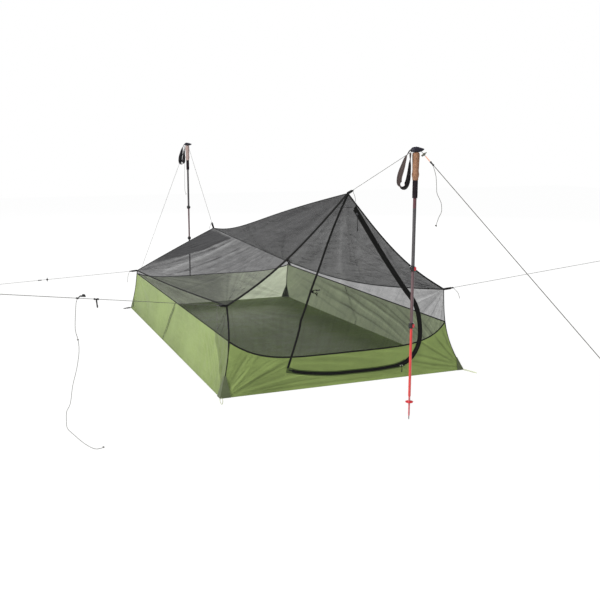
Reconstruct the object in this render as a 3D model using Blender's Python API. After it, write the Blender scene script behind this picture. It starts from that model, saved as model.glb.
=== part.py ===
"""Mesh bug shelter pitched between two walking poles, as an assembly of its separate pieces.

The frame is +Z up with its origin on the ground at the middle of the floor. The door faces -Y,
+X is the right side seen from outside the door.
"""
import math

import bmesh
import bpy
from mathutils import Vector

# Clearances and cloth
GAP = 0.0003
SHEET_THICKNESS = 0.0010
SEAM_RADIUS = 0.0020
SEAM_END_CLEARANCE = 0.0060
SEAM_OVERRUN = 0.0008
SEAM_SIDES = 6
PANEL_INSET = SEAM_RADIUS + GAP
ZIP_HALF_GAP = SEAM_RADIUS + GAP / 2

# Floor
FLOOR_LENGTH = 2.40
FLOOR_FRONT_WIDTH = 1.38
FLOOR_REAR_WIDTH = 1.25

# Eaves and peaks, the peaks on the centre line
FRONT_EAVE_WIDTH = 1.24
FRONT_EAVE_HEIGHT = 0.432
FRONT_EAVE_SETBACK = 0.109
REAR_EAVE_WIDTH = 1.186
REAR_EAVE_HEIGHT = 0.293
REAR_EAVE_SETBACK = 0.106
FRONT_PEAK_HEIGHT = 0.969
FRONT_PEAK_SETBACK = 0.045
REAR_PEAK_HEIGHT = 0.577
REAR_PEAK_SETBACK = 0.073

# Catenary cuts: the right side hangs slacker, as no line draws its rear corner out
EAVE_SAG = {-1: 0.010, 1: 0.055}
FRONT_HIP_SAG = {-1: 0.027, 1: 0.070}
CORNER_BOW = {-1: 0.024, 1: 0.045}
REAR_CORNER_BOW = 0.008
RIDGE_SAG = 0.035
ROOF_SAG = 0.020

# Solid lower walls
FRONT_WALL_CORNER_HEIGHT = 0.262
FRONT_WALL_HEIGHT = 0.164
REAR_WALL_CORNER_HEIGHT = 0.270
REAR_WALL_HEIGHT = 0.222
WALL_TOP_POWER = 5

# Door: the seam it turns on leans from the left wall's foot towards the front peak
HINGE_FOOT_X = -0.341
HINGE_FOOT_HEIGHT = 0.107
HINGE_TOP_X = -0.026
DOOR_TOP_HEIGHT = 0.900
ZIP_FOOT_HEIGHT = 0.059
ZIP_ROUTE = [
    (HINGE_FOOT_X, HINGE_FOOT_HEIGHT),
    (-0.273, 0.086),
    (-0.120, 0.064),
    (0.030, ZIP_FOOT_HEIGHT),
    (0.200, 0.060),
    (0.330, 0.078),
    (0.402, 0.145),
    (0.424, 0.240),
    (0.400, 0.370),
    (0.313, 0.487),
    (0.194, 0.653),
    (0.033, DOOR_TOP_HEIGHT),
]

# Zip sliders and their pulls
SLIDER_LENGTH = 0.014
SLIDER_WIDTH = 0.009
SLIDER_THICKNESS = 0.004
SLIDER_CLEARANCE = 0.0006
BOTTOM_SLIDER_X = 0.302
TOP_SLIDER_HEIGHT = 0.868
BOTTOM_PULL_LENGTH = 0.036
TOP_PULL_LENGTH = 0.085
PULL_RADIUS = 0.0012
TOGGLE_HEIGHT = 0.494
TOGGLE_LENGTH = 0.022
TOGGLE_RADIUS = 0.0030
SLIDER_SIDE_SHIFT = 0.0062

# Tie-outs
TAB_LENGTH = 0.040
TAB_WIDTH = 0.012
TAB_THICKNESS = 0.0015
TAB_START = 0.0005
TAB_OVERLAP = 0.0060
LOCK_LENGTH = 0.020
LOCK_WIDTH = 0.014
LOCK_THICKNESS = 0.006
CORNER_PATCH_HEIGHT = 0.110
CORNER_PATCH_REACH = 0.055
PATCH_OFFSET = 0.0032
PATCH_THICKNESS = 0.0008
STAKE_LOOP_LENGTH = 0.095
STAKE_LOOP_WIDTH = 0.022
STAKE_CORD_RADIUS = 0.0015
STAKE_AIMS = {"front": Vector((0.27, -0.96, 0)), "rear": Vector((0.95, -0.30, 0))}
STAKE_ROOTS = {"front": 0.99, "rear": 1.68}

# Poles: three tubes that slide in each other, each held by a clamp
POLE_HEIGHT = 1.205
FRONT_POLE_AWAY = 0.617
REAR_POLE_AWAY = 0.600
FRONT_POLE_PLACE = (-0.006, -FLOOR_LENGTH / 2 - FRONT_POLE_AWAY)
REAR_POLE_PLACE = (-0.003, FLOOR_LENGTH / 2 + REAR_POLE_AWAY)
TUBE_CLEARANCE = 0.0003
TUBE_WALL = 0.0005
UPPER_TUBE_RADIUS = 0.0075
MIDDLE_TUBE_RADIUS = UPPER_TUBE_RADIUS - TUBE_WALL - TUBE_CLEARANCE
LOWER_TUBE_RADIUS = MIDDLE_TUBE_RADIUS - TUBE_WALL - TUBE_CLEARANCE
HEAD_HEIGHT = 0.024
HEAD_WIDTH = 0.026
GRIP_LENGTH = 0.117
FOAM_LENGTH = 0.073
GRIP_RADIUS = 0.0150
FOAM_RADIUS = 0.0113
UPPER_CLAMP_HEIGHT = 0.672
LOWER_CLAMP_HEIGHT = 0.419
CLAMP_LENGTH = 0.023
CLAMP_WALL = 0.0028
LEVER_GAP = 0.0005
LEVER_WALL = 0.0026
LEVER_MARGIN = 0.0040
TUBE_OVERLAP = 0.120
BASKET_HEIGHT = 0.078
BASKET_THICKNESS = 0.009
BASKET_RADIUS = 0.0180
TIP_JOINT_HEIGHT = 0.110
STRAP_WIDTH = 0.030
STRAP_THICKNESS = 0.0016
ROUND_SIDES = 16

# Guy lines: their far ends lie this far beyond the floor's ends and the poles
GUY_RADIUS = 0.0011
GUY_SPACING = GUY_RADIUS * 2 + GAP
FRONT_LEFT_GUY_END = Vector((-1.700, -FLOOR_LENGTH / 2 - 0.241, 0.625))
FRONT_RIGHT_GUY_END = Vector((1.420, -FLOOR_LENGTH / 2 - 0.229, 0.595))
REAR_LEFT_GUY_END = Vector((-1.558, FLOOR_LENGTH / 2 + 0.178, 0.205))
POLE_GUY_START = Vector((0.009, FRONT_POLE_PLACE[1] - 0.0146, POLE_HEIGHT - 0.019))
POLE_GUY_END = Vector((0.413, FRONT_POLE_PLACE[1] - 0.735, 0.395))
REAR_POLE_GUY_END = Vector((-0.321, REAR_POLE_PLACE[1] + 0.581, 0.020))
SLACK_TAB_AIM = Vector((1.143, FLOOR_LENGTH / 2 + 0.444, -0.337))
TENSIONER_LENGTH = 0.022
TENSIONER_RADIUS = 0.0045
TENSIONER_BORE = GUY_RADIUS + GAP
TENSIONER_WIDE_BORE = GUY_RADIUS + GUY_SPACING / 2 + GAP * 1.5
FRONT_LEFT_TENSIONER_REACH = 0.650
REAR_LEFT_TENSIONER_REACH = 0.640
POLE_TENSIONER_REACH = 0.075
FRONT_LEFT_TAIL_REACH = 0.743
POLE_TAIL_REACH = 0.088

# Colours: linear red, green and blue
NYLON = (0.36, 0.42, 0.16)
NYLON_FLOOR = (0.16, 0.19, 0.10)
NETTING = (0.20, 0.20, 0.20)
WEBBING = (0.02, 0.02, 0.02)
CORK = (0.62, 0.42, 0.26)
RED = (0.45, 0.02, 0.03)
DARK_METAL = (0.08, 0.05, 0.06)
LINE = (0.55, 0.55, 0.52)
TAUPE = (0.30, 0.22, 0.21)

# Finishes that differ between the two poles: grip, lower tube and levers
POLE_FINISHES = {
    "front": {"grip": ("cork", CORK), "tube": ("red_metal", RED), "lever": ("red_plastic", RED)},
    "rear": {"grip": ("grip_foam", TAUPE), "tube": ("dark_metal", DARK_METAL), "lever": ("black_plastic", WEBBING)},
}

LEFT = -1
RIGHT = 1
FRONT_END = -FLOOR_LENGTH / 2
REAR_END = FLOOR_LENGTH / 2
WALL_FOOT = SHEET_THICKNESS + GAP * 1.5 - PANEL_INSET
WALL_SEAM_START = SEAM_RADIUS + SHEET_THICKNESS + GAP * 4
RIGHT_NETTING_TOP = DOOR_TOP_HEIGHT - 0.055


def clear_scene():
    for item in list(bpy.data.objects):
        bpy.data.objects.remove(item, do_unlink=True)


def material(name, colour, roughness=0.6, metallic=0.0):
    found = bpy.data.materials.get(name)
    if found:
        return found
    made = bpy.data.materials.new(name)
    made.use_nodes = True
    shader = made.node_tree.nodes["Principled BSDF"]
    shader.inputs["Base Color"].default_value = (*colour, 1.0)
    shader.inputs["Roughness"].default_value = roughness
    shader.inputs["Metallic"].default_value = metallic
    return made


def link(item, finish):
    item.data.materials.append(finish)
    bpy.context.scene.collection.objects.link(item)
    return item


def mesh_object(name, bm, finish, smooth=False):
    """Turn a bmesh into a linked object whose faces point out."""
    bmesh.ops.recalc_face_normals(bm, faces=bm.faces)
    data = bpy.data.meshes.new(name)
    bm.to_mesh(data)
    bm.free()
    if smooth:
        data.shade_smooth()
        data.set_sharp_from_angle(angle=math.radians(40))
    return link(bpy.data.objects.new(name, data), finish)


# The shelter's surfaces and seams

def front_y(x, z):
    """The front wall: nearly flat at the door, drawn back to the eave corners."""
    peak_share = FRONT_PEAK_SETBACK / FRONT_PEAK_HEIGHT
    corner_share = FRONT_EAVE_SETBACK - peak_share * FRONT_EAVE_HEIGHT
    side = (abs(x) / (FRONT_EAVE_WIDTH / 2)) ** 4
    return FRONT_END + peak_share * z + corner_share * side * min(1.0, z / FRONT_EAVE_HEIGHT)


def rear_y(x, z):
    """The rear wall leans in towards the rear peak, more at its eave corners."""
    peak_share = REAR_PEAK_SETBACK / REAR_PEAK_HEIGHT
    corner_share = REAR_EAVE_SETBACK - peak_share * REAR_EAVE_HEIGHT
    side = (abs(x) / (REAR_EAVE_WIDTH / 2)) ** 2
    return REAR_END - peak_share * z - corner_share * side * min(1.0, z / REAR_EAVE_HEIGHT)


def mix(a, b, t):
    return a + (b - a) * t


def front_corner(side, z):
    """Seam between the front wall and a side wall, from the floor to the eave."""
    t = z / FRONT_EAVE_HEIGHT
    x = mix(FLOOR_FRONT_WIDTH / 2, FRONT_EAVE_WIDTH / 2, t)
    x -= CORNER_BOW[side] * math.sin(math.pi * min(1.0, max(0.0, t)))
    return Vector((side * x, front_y(x, z), z))


def rear_corner(side, z):
    t = z / REAR_EAVE_HEIGHT
    x = mix(FLOOR_REAR_WIDTH / 2, REAR_EAVE_WIDTH / 2, t)
    x -= REAR_CORNER_BOW * math.sin(math.pi * min(1.0, max(0.0, t)))
    return Vector((side * x, rear_y(x, z), z))


def eave(side, t):
    """Roof edge from the front eave corner to the rear one."""
    point = front_corner(side, FRONT_EAVE_HEIGHT).lerp(rear_corner(side, REAR_EAVE_HEIGHT), t)
    point.z -= EAVE_SAG[side] * math.sin(math.pi * t)
    return point


def ridge(t):
    """Ridge from the front peak to the rear one: it hangs lowest near the rear."""
    front = Vector((0, front_y(0, FRONT_PEAK_HEIGHT), FRONT_PEAK_HEIGHT))
    rear = Vector((0, rear_y(0, REAR_PEAK_HEIGHT), REAR_PEAK_HEIGHT))
    point = front.lerp(rear, t)
    point.z -= RIDGE_SAG * math.sin(math.pi * t ** 2.4)
    return point


def front_hip(side, t):
    """Seam from the front peak down to a front eave corner."""
    x = mix(0, FRONT_EAVE_WIDTH / 2, t)
    z = mix(FRONT_PEAK_HEIGHT, FRONT_EAVE_HEIGHT, t)
    z -= FRONT_HIP_SAG[side] * math.sin(math.pi * t)
    return Vector((side * x, front_y(x, z), z))


def rear_hip(side, t):
    x = mix(0, REAR_EAVE_WIDTH / 2, t)
    z = mix(REAR_PEAK_HEIGHT, REAR_EAVE_HEIGHT, t)
    return Vector((side * x, rear_y(x, z), z))


def hip_share(side, z):
    """How far down the front hip it passes the height z."""
    low, high = 0.0, 1.0
    for _ in range(40):
        middle = (low + high) / 2
        if front_hip(side, middle).z > z:
            low = middle
        else:
            high = middle
    return low


def side_top(side, t):
    """Top edge of a side wall's solid part."""
    front = front_corner(side, FRONT_WALL_CORNER_HEIGHT)
    return front.lerp(rear_corner(side, REAR_WALL_CORNER_HEIGHT), t)


def front_top(x):
    """Top edge of the front wall's solid part: flat in the middle, rising to the corners."""
    side = LEFT if x < 0 else RIGHT
    corner = abs(front_corner(side, FRONT_WALL_CORNER_HEIGHT).x)
    rise = FRONT_WALL_CORNER_HEIGHT - FRONT_WALL_HEIGHT
    z = FRONT_WALL_HEIGHT + rise * (abs(x) / corner) ** WALL_TOP_POWER
    return Vector((x, front_y(x, z), z))


def rear_top(x):
    corner = abs(rear_corner(RIGHT, REAR_WALL_CORNER_HEIGHT).x)
    rise = REAR_WALL_CORNER_HEIGHT - REAR_WALL_HEIGHT
    z = REAR_WALL_HEIGHT + rise * (abs(x) / corner) ** WALL_TOP_POWER
    return Vector((x, rear_y(x, z), z))


def hinge(z):
    """The straight seam that the door turns on."""
    t = (z - HINGE_FOOT_HEIGHT) / (DOOR_TOP_HEIGHT - HINGE_FOOT_HEIGHT)
    foot = Vector((HINGE_FOOT_X, front_y(HINGE_FOOT_X, HINGE_FOOT_HEIGHT), HINGE_FOOT_HEIGHT))
    top = Vector((HINGE_TOP_X, front_y(HINGE_TOP_X, DOOR_TOP_HEIGHT), DOOR_TOP_HEIGHT))
    return foot.lerp(top, t)


def smooth_route(points, steps):
    """Points along a smooth curve that passes through the given ones."""
    ends = [points[0] * 2 - points[1]] + list(points) + [points[-1] * 2 - points[-2]]
    route = []
    for index in range(1, len(ends) - 2):
        before, start, end, after = ends[index - 1:index + 3]
        for step in range(steps):
            t = step / steps
            part = (end - before) * t + (before * 2 - start * 5 + end * 4 - after) * t ** 2
            part += (start * 3 - before - end * 3 + after) * t ** 3
            route.append(start + part * 0.5)
    route.append(points[-1].copy())
    return route


def zip_line(offset):
    """The zip's route in the front wall, shifted outwards from the door by offset."""
    centre = smooth_route([Vector((x, z)) for x, z in ZIP_ROUTE], 2)
    shifted = []
    for index, point in enumerate(centre):
        before = centre[max(0, index - 1)]
        after = centre[min(len(centre) - 1, index + 1)]
        along = (after - before).normalized()
        place = point + Vector((along.y, -along.x)) * offset
        shifted.append(Vector((place.x, front_y(place.x, place.y), place.y)))
    return shifted


def nearest_index(points, test):
    return min(range(len(points)), key=lambda index: test(points[index]))


def spread(function, start, end, steps):
    return [function(mix(start, end, index / steps)) for index in range(steps + 1)]


# Edges that panels and bindings share, so that both follow the same points

def corner_edges(side):
    """Front and rear corner seams, each as its lower and its upper stretch."""
    heights = (FRONT_WALL_CORNER_HEIGHT, FRONT_EAVE_HEIGHT)
    front_low = spread(lambda z: front_corner(side, z), WALL_FOOT, heights[0], 4)
    front_high = spread(lambda z: front_corner(side, z), *heights, 3)
    heights = (REAR_WALL_CORNER_HEIGHT, REAR_EAVE_HEIGHT)
    rear_low = spread(lambda z: rear_corner(side, z), WALL_FOOT, heights[0], 4)
    rear_high = spread(lambda z: rear_corner(side, z), *heights, 3)
    return front_low, front_high, rear_low, rear_high


def eave_edge(side):
    return spread(lambda t: eave(side, t), 0, 1, 10)


def front_hip_edge(side, low):
    """Front hip from the height low down to the eave corner, above it straight to the peak."""
    return spread(lambda t: front_hip(side, t), hip_share(side, low), 1, 7)


def whole_front_hip(side, low):
    top = [front_hip(side, 0)]
    if low < DOOR_TOP_HEIGHT:
        top.append(front_hip(side, hip_share(side, DOOR_TOP_HEIGHT)))
    return top + front_hip_edge(side, low)


def rear_hip_edge(side):
    return spread(lambda t: rear_hip(side, t), 0, 1, 6)


def rear_top_edge():
    corner = abs(rear_corner(RIGHT, REAR_WALL_CORNER_HEIGHT).x)
    return spread(rear_top, -corner, corner, 12)


def front_edges():
    """The zip's frame side and the two stretches of the front wall's top edge beside the door."""
    frame_zip = zip_line(ZIP_HALF_GAP)
    level = zip_splits(frame_zip)[1]
    crossing = hinge_crossing()
    left = front_corner(LEFT, FRONT_WALL_CORNER_HEIGHT)
    right = front_corner(RIGHT, FRONT_WALL_CORNER_HEIGHT)
    left_top = spread(front_top, left.x, hinge(crossing).x, 6)
    left_top[-1] = hinge(crossing)
    right_top = spread(front_top, frame_zip[level].x, right.x, 5)
    right_top[0] = frame_zip[level]
    return frame_zip, left_top, right_top


# Cloth panels, seams and cords

def net_of_points(bottom, top, left, right):
    """Grid of points spanned between four edges, corner to corner."""
    columns = len(bottom) - 1
    rows = len(left) - 1
    grid = []
    for row in range(rows + 1):
        v = row / rows
        line = []
        for column in range(columns + 1):
            u = column / columns
            across = bottom[column].lerp(top[column], v)
            along = left[row].lerp(right[row], u)
            low = bottom[0].lerp(bottom[-1], u)
            high = top[0].lerp(top[-1], u)
            line.append(across + along - low.lerp(high, v))
        grid.append(line)
    return grid


def panel(name, bottom, top, left, right, finish, sag=None):
    """Closed cloth sheet between four edges, drawn in from the seams round it."""
    grid = net_of_points(bottom, top, left, right)
    bm = bmesh.new()
    rows = len(grid) - 1
    columns = len(grid[0]) - 1
    verts = []
    for row, line in enumerate(grid):
        made = []
        for column, point in enumerate(line):
            if sag:
                hollow = math.sin(math.pi * row / rows) * math.sin(math.pi * column / columns)
                point = point + sag * hollow
            made.append(bm.verts.new(point))
        verts.append(made)
    for row in range(rows):
        for column in range(columns):
            corners = (verts[row][column], verts[row][column + 1],
                       verts[row + 1][column + 1], verts[row + 1][column])
            bm.faces.new(corners)
    bm.normal_update()
    rim = bmesh.ops.inset_region(bm, faces=bm.faces[:], thickness=PANEL_INSET,
                                 use_boundary=True, use_even_offset=True)
    bmesh.ops.delete(bm, geom=rim["faces"], context="FACES")
    sheet = mesh_object(name, bm, finish, smooth=True)
    thicken(sheet, SHEET_THICKNESS)
    return sheet


def thicken(item, thickness):
    solid = item.modifiers.new("thickness", "SOLIDIFY")
    solid.thickness = thickness
    solid.offset = 0.0
    solid.use_even_offset = True


def shorten(points, start, end):
    """Cut a length off each end of a route."""
    points = [point.copy() for point in points]
    for cut, order in ((start, 1), (end, -1)):
        points = points[::order]
        left = cut
        while left > 0 and len(points) > 2 and (points[1] - points[0]).length <= left:
            left -= (points[1] - points[0]).length
            points.pop(0)
        points[0] = points[0] + (points[1] - points[0]).normalized() * left
        points = points[::order]
    return points


def tube(name, route, radius, finish):
    """Round cord along a route."""
    data = bpy.data.curves.new(name, "CURVE")
    data.dimensions = "3D"
    data.bevel_depth = radius
    data.bevel_resolution = 2
    data.use_fill_caps = True
    spline = data.splines.new("POLY")
    spline.points.add(len(route) - 1)
    for spot, point in zip(spline.points, route):
        spot.co = (*point, 1.0)
    return link(bpy.data.objects.new(name, data), finish)


def box(name, size, place, finish, along=None, bevel=0.0):
    """Block of the given size, its local X turned along a direction."""
    bm = bmesh.new()
    bmesh.ops.create_cube(bm, size=1.0)
    bmesh.ops.scale(bm, vec=size, verts=bm.verts)
    if bevel:
        bmesh.ops.bevel(bm, geom=bm.edges[:], offset=bevel, segments=1, affect="EDGES")
    item = mesh_object(name, bm, finish)
    item.location = place
    if along is not None:
        item.rotation_euler = along.to_track_quat("X", "Z").to_euler()
    return item


def turned(name, profile, finish, sides=ROUND_SIDES):
    """Turn a closed outline of (radius, height) points about Z; radius 0 makes a point."""
    bm = bmesh.new()
    rings = []
    for radius, height in profile:
        if radius == 0:
            rings.append([bm.verts.new((0, 0, height))])
            continue
        ring = []
        for index in range(sides):
            angle = math.tau * index / sides
            ring.append(bm.verts.new((radius * math.cos(angle), radius * math.sin(angle), height)))
        rings.append(ring)
    pairs = list(zip(rings, rings[1:]))
    if profile[0][0] > 0:
        pairs.append((rings[-1], rings[0]))
    for low, high in pairs:
        for index in range(sides):
            after = (index + 1) % sides
            if len(low) == 1:
                bm.faces.new((low[0], high[index], high[after]))
            elif len(high) == 1:
                bm.faces.new((low[index], low[after], high[0]))
            else:
                bm.faces.new((low[index], low[after], high[after], high[index]))
    return mesh_object(name, bm, finish, smooth=True)


def hollow(outer, inner):
    """Outline of a sleeve: up its outer side, down its bore."""
    return list(outer) + list(reversed(inner))


# Shelter

def build_floor(finish):
    """Floor sheet, a little wider than the feet of the walls that stand on it."""
    bm = bmesh.new()
    for z in (0, SHEET_THICKNESS):
        for x, y in ((-FLOOR_FRONT_WIDTH / 2, FRONT_END), (FLOOR_FRONT_WIDTH / 2, FRONT_END),
                     (FLOOR_REAR_WIDTH / 2, REAR_END), (-FLOOR_REAR_WIDTH / 2, REAR_END)):
            margin = SEAM_RADIUS
            bm.verts.new((x + math.copysign(margin, x), y + math.copysign(margin, y), z))
    bmesh.ops.convex_hull(bm, input=bm.verts)
    mesh_object("floor_sheet", bm, finish)


def build_shelter():
    nylon = material("green_nylon", NYLON, 0.55)
    ground = material("floor_nylon", NYLON_FLOOR, 0.6)
    netting = material("netting", NETTING, 0.9)
    black = material("black_webbing", WEBBING, 0.8)
    build_floor(ground)
    build_sides(nylon, netting)
    build_rear(nylon, netting)
    build_roof(netting)
    build_front(nylon, netting, black)
    build_seams(black)
    build_patch(nylon)


def build_sides(nylon, netting):
    for side, word in ((LEFT, "left"), (RIGHT, "right")):
        front_low, front_high, rear_low, rear_high = corner_edges(side)
        bottom = spread(lambda t: front_low[0].lerp(rear_low[0], t), 0, 1, 10)
        top = spread(lambda t: front_low[-1].lerp(rear_low[-1], t), 0, 1, 10)
        panel(word + "_wall", bottom, top, front_low, rear_low, nylon)
        panel(word + "_wall_netting", top, eave_edge(side), front_high, rear_high, netting)


def build_rear(nylon, netting):
    left_low, left_high = corner_edges(LEFT)[2:]
    right_low, right_high = corner_edges(RIGHT)[2:]
    bottom = spread(lambda t: left_low[0].lerp(right_low[0], t), 0, 1, 12)
    top = rear_top_edge()
    panel("rear_wall", bottom, top, left_low, right_low, nylon)
    hips = rear_hip_edge(LEFT)[::-1] + rear_hip_edge(RIGHT)[1:]
    panel("rear_netting", top, hips, left_high, right_high, netting)


def build_roof(netting):
    lows = {LEFT: DOOR_TOP_HEIGHT, RIGHT: RIGHT_NETTING_TOP}
    for side, word in ((LEFT, "left"), (RIGHT, "right")):
        top = spread(ridge, 0, 1, 10)
        front = whole_front_hip(side, lows[side])[::-1]
        rear = matched(rear_hip_edge(side)[::-1], len(front))
        sag = Vector((-side * ROOF_SAG * 0.4, 0, -ROOF_SAG))
        panel(word + "_roof_netting", eave_edge(side), top, front, rear, netting, sag)


def matched(points, count):
    """The same route with more points: the extra ones lie on its longest straight stretches."""
    points = list(points)
    while len(points) < count:
        lengths = [(after - before).length for before, after in zip(points, points[1:])]
        longest = lengths.index(max(lengths))
        points.insert(longest + 1, points[longest].lerp(points[longest + 1], 0.5))
    return points


def zip_splits(route):
    """Indices where the zip passes its lower right turn and the wall's top edge."""
    turn = nearest_index(route, lambda p: abs(p.x - 0.370) + abs(p.z - 0.105))
    right_side = range(turn, len(route))
    level = min(right_side, key=lambda index: abs(route[index].z - front_top(route[index].x).z))
    return turn, level


def build_front(nylon, netting, black):
    frame_zip, left_top, right_top = front_edges()
    door_zip = zip_line(-ZIP_HALF_GAP)
    turn, level = zip_splits(frame_zip)
    crossing = hinge_crossing()
    left_low, left_high = corner_edges(LEFT)[:2]
    right_low, right_high = corner_edges(RIGHT)[:2]
    hinge_down = spread(hinge, crossing, HINGE_FOOT_HEIGHT, 2)[1:-1]
    top = left_top + hinge_down + frame_zip[:level] + right_top
    feet = feet_below(left_top, hinge_down, frame_zip[:level], right_top)
    panel("front_wall", feet, top, left_low, right_low, nylon)

    side = left_high + front_hip_edge(LEFT, DOOR_TOP_HEIGHT)[::-1][1:]
    seam = spread(hinge, crossing, DOOR_TOP_HEIGHT, len(side) - 1)
    head = spread(lambda t: side[-1].lerp(seam[-1], t), 0, 1, 6)
    panel("front_netting_left", left_top, head, side, seam, netting)

    zip_end = nearest_index(frame_zip, lambda p: abs(p.z - RIGHT_NETTING_TOP))
    side = right_high + front_hip_edge(RIGHT, RIGHT_NETTING_TOP)[::-1][1:]
    edge = matched(frame_zip[level:zip_end + 1], len(side))
    side = matched(side, len(edge))
    head = spread(lambda t: edge[-1].lerp(side[-1], t), 0, 1, 5)
    panel("front_netting_right", right_top, head, edge, side, netting)

    mid = spread(front_top, hinge(crossing).x, door_zip[level].x, turn)
    mid[0] = hinge(crossing)
    mid[-1] = door_zip[level]
    foot = HINGE_FOOT_HEIGHT + ZIP_HALF_GAP
    bottom = [hinge(foot)] + door_zip[1:turn + 1]
    left = spread(hinge, foot, crossing, level - turn)
    panel("door_panel", bottom, mid, left, door_zip[turn:level + 1], nylon)
    right = door_zip[level:]
    left = spread(hinge, crossing, DOOR_TOP_HEIGHT, len(right) - 1)
    head = spread(lambda t: left[-1].lerp(right[-1], t), 0, 1, turn)
    panel("door_netting", mid, head, left, right, netting)
    ends = SEAM_END_CLEARANCE
    edge = shorten(door_zip, ends, ends * 2)
    across = shorten(mid, ends, 0)
    joined_tubes("door_bindings", [edge, across], [], black)


def hinge_crossing():
    """Height at which the hinge seam meets the wall's top edge."""
    height = FRONT_WALL_HEIGHT
    for _ in range(20):
        height = front_top(hinge(height).x).z
    return height


def feet_below(left_top, hinge_down, zip_part, right_top):
    """Points along the wall's foot, one for each point of its top edge, fanned out at the door."""
    left = front_corner(LEFT, WALL_FOOT)
    right = front_corner(RIGHT, WALL_FOOT)
    marks = (left.x, HINGE_FOOT_X - 0.075, HINGE_FOOT_X - 0.035, right_top[0].x + 0.030, right.x)
    counts = (len(left_top) - 1, len(hinge_down) + 1, len(zip_part), len(right_top) - 1)
    places = [left.x]
    for start, end, count in zip(marks, marks[1:], counts):
        places += [mix(start, end, (index + 1) / count) for index in range(count)]
    return [left.lerp(right, (x - left.x) / (right.x - left.x)) for x in places]


def sweep(bm, route, radius, sides):
    """Round bar along a route, with flat ends."""
    rings = []
    across = None
    for index, point in enumerate(route):
        before = route[max(0, index - 1)]
        after = route[min(len(route) - 1, index + 1)]
        along = (after - before).normalized()
        if across is None:
            across = along.orthogonal().normalized()
        across = (across - along * across.dot(along)).normalized()
        up = along.cross(across)
        ring = []
        for step in range(sides):
            angle = math.tau * step / sides
            ring.append(bm.verts.new(point + (across * math.cos(angle) + up * math.sin(angle)) * radius))
        rings.append(ring)
    for low, high in zip(rings, rings[1:]):
        for step in range(sides):
            after = (step + 1) % sides
            bm.faces.new((low[step], low[after], high[after], high[step]))
    bm.faces.new(rings[0][::-1])
    bm.faces.new(rings[-1])


def joined_tubes(name, routes, extra, finish):
    """Bindings sewn to each other where they meet: one solid, the union of their tubes."""
    bm = bmesh.new()
    sweep(bm, routes[0], SEAM_RADIUS, SEAM_SIDES)
    item = mesh_object(name, bm, finish, smooth=True)
    guides = bpy.data.collections.new(name + "_guides")
    guides.hide_render = True
    bpy.context.scene.collection.children.link(guides)
    shapes = []
    for route in routes[1:]:
        bm = bmesh.new()
        sweep(bm, route, SEAM_RADIUS, SEAM_SIDES)
        shapes.append(bm)
    for index, bm in enumerate(shapes + extra):
        bmesh.ops.recalc_face_normals(bm, faces=bm.faces)
        data = bpy.data.meshes.new(name + "_guide_" + str(index))
        bm.to_mesh(data)
        bm.free()
        guide = bpy.data.objects.new(data.name, data)
        guide.hide_render = True
        guide.display_type = "WIRE"
        guides.objects.link(guide)
    join = item.modifiers.new("join", "BOOLEAN")
    join.operation = "UNION"
    join.operand_type = "COLLECTION"
    join.collection = guides
    return item


def overrun(points):
    """Lengthen a route a little past both ends, so that it meets what it is sewn to."""
    points = [point.copy() for point in points]
    points[0] += (points[0] - points[1]).normalized() * SEAM_OVERRUN
    points[-1] += (points[-1] - points[-2]).normalized() * SEAM_OVERRUN
    return points


def build_seams(black):
    """All bindings of the shelter's body, with the tie-out tabs and line locks sewn to them."""
    ends = SEAM_END_CLEARANCE
    frame_zip, left_top, right_top = front_edges()
    lows = {LEFT: DOOR_TOP_HEIGHT, RIGHT: RIGHT_NETTING_TOP}
    routes = [overrun(spread(ridge, 0, 1, 10))]
    for side in (LEFT, RIGHT):
        front_low, front_high, rear_low, rear_high = corner_edges(side)
        routes.append(overrun(eave_edge(side)))
        routes.append(overrun(whole_front_hip(side, lows[side])))
        routes.append(overrun(rear_hip_edge(side)))
        routes.append(overrun(shorten(front_low + front_high[1:], WALL_SEAM_START, 0)))
        routes.append(overrun(shorten(rear_low + rear_high[1:], WALL_SEAM_START, 0)))
        routes.append([front_low[-1], rear_low[-1]])
    routes.append(rear_top_edge())
    routes += [left_top, right_top]
    routes.append(shorten([hinge(HINGE_FOOT_HEIGHT), hinge(DOOR_TOP_HEIGHT)], ends, 0))
    routes.append(shorten(frame_zip, ends, 0))
    routes.append([front_hip(side, hip_share(side, DOOR_TOP_HEIGHT)) for side in (LEFT, RIGHT)])
    joined_tubes("seam_bindings", routes, tie_blocks(), black)


def build_patch(nylon):
    """Reinforcement between the front peak and the head of the door."""
    bm = bmesh.new()
    rows = []
    for share in (0.0, 0.5, 1.0):
        z = mix(DOOR_TOP_HEIGHT + PANEL_INSET * 1.1, FRONT_PEAK_HEIGHT - 0.022, share)
        left = front_hip(LEFT, hip_share(LEFT, z)) + Vector((PANEL_INSET * 1.9, 0, 0))
        right = front_hip(RIGHT, hip_share(RIGHT, z)) - Vector((PANEL_INSET * 1.9, 0, 0))
        rows.append([bm.verts.new(left.lerp(right, t / 2)) for t in range(3)])
    for low, high in zip(rows, rows[1:]):
        for column in range(2):
            bm.faces.new((low[column], low[column + 1], high[column + 1], high[column]))
    patch = mesh_object("front_peak_patch", bm, nylon)
    thicken(patch, SHEET_THICKNESS)


# Tie-outs, locks and lines

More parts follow.
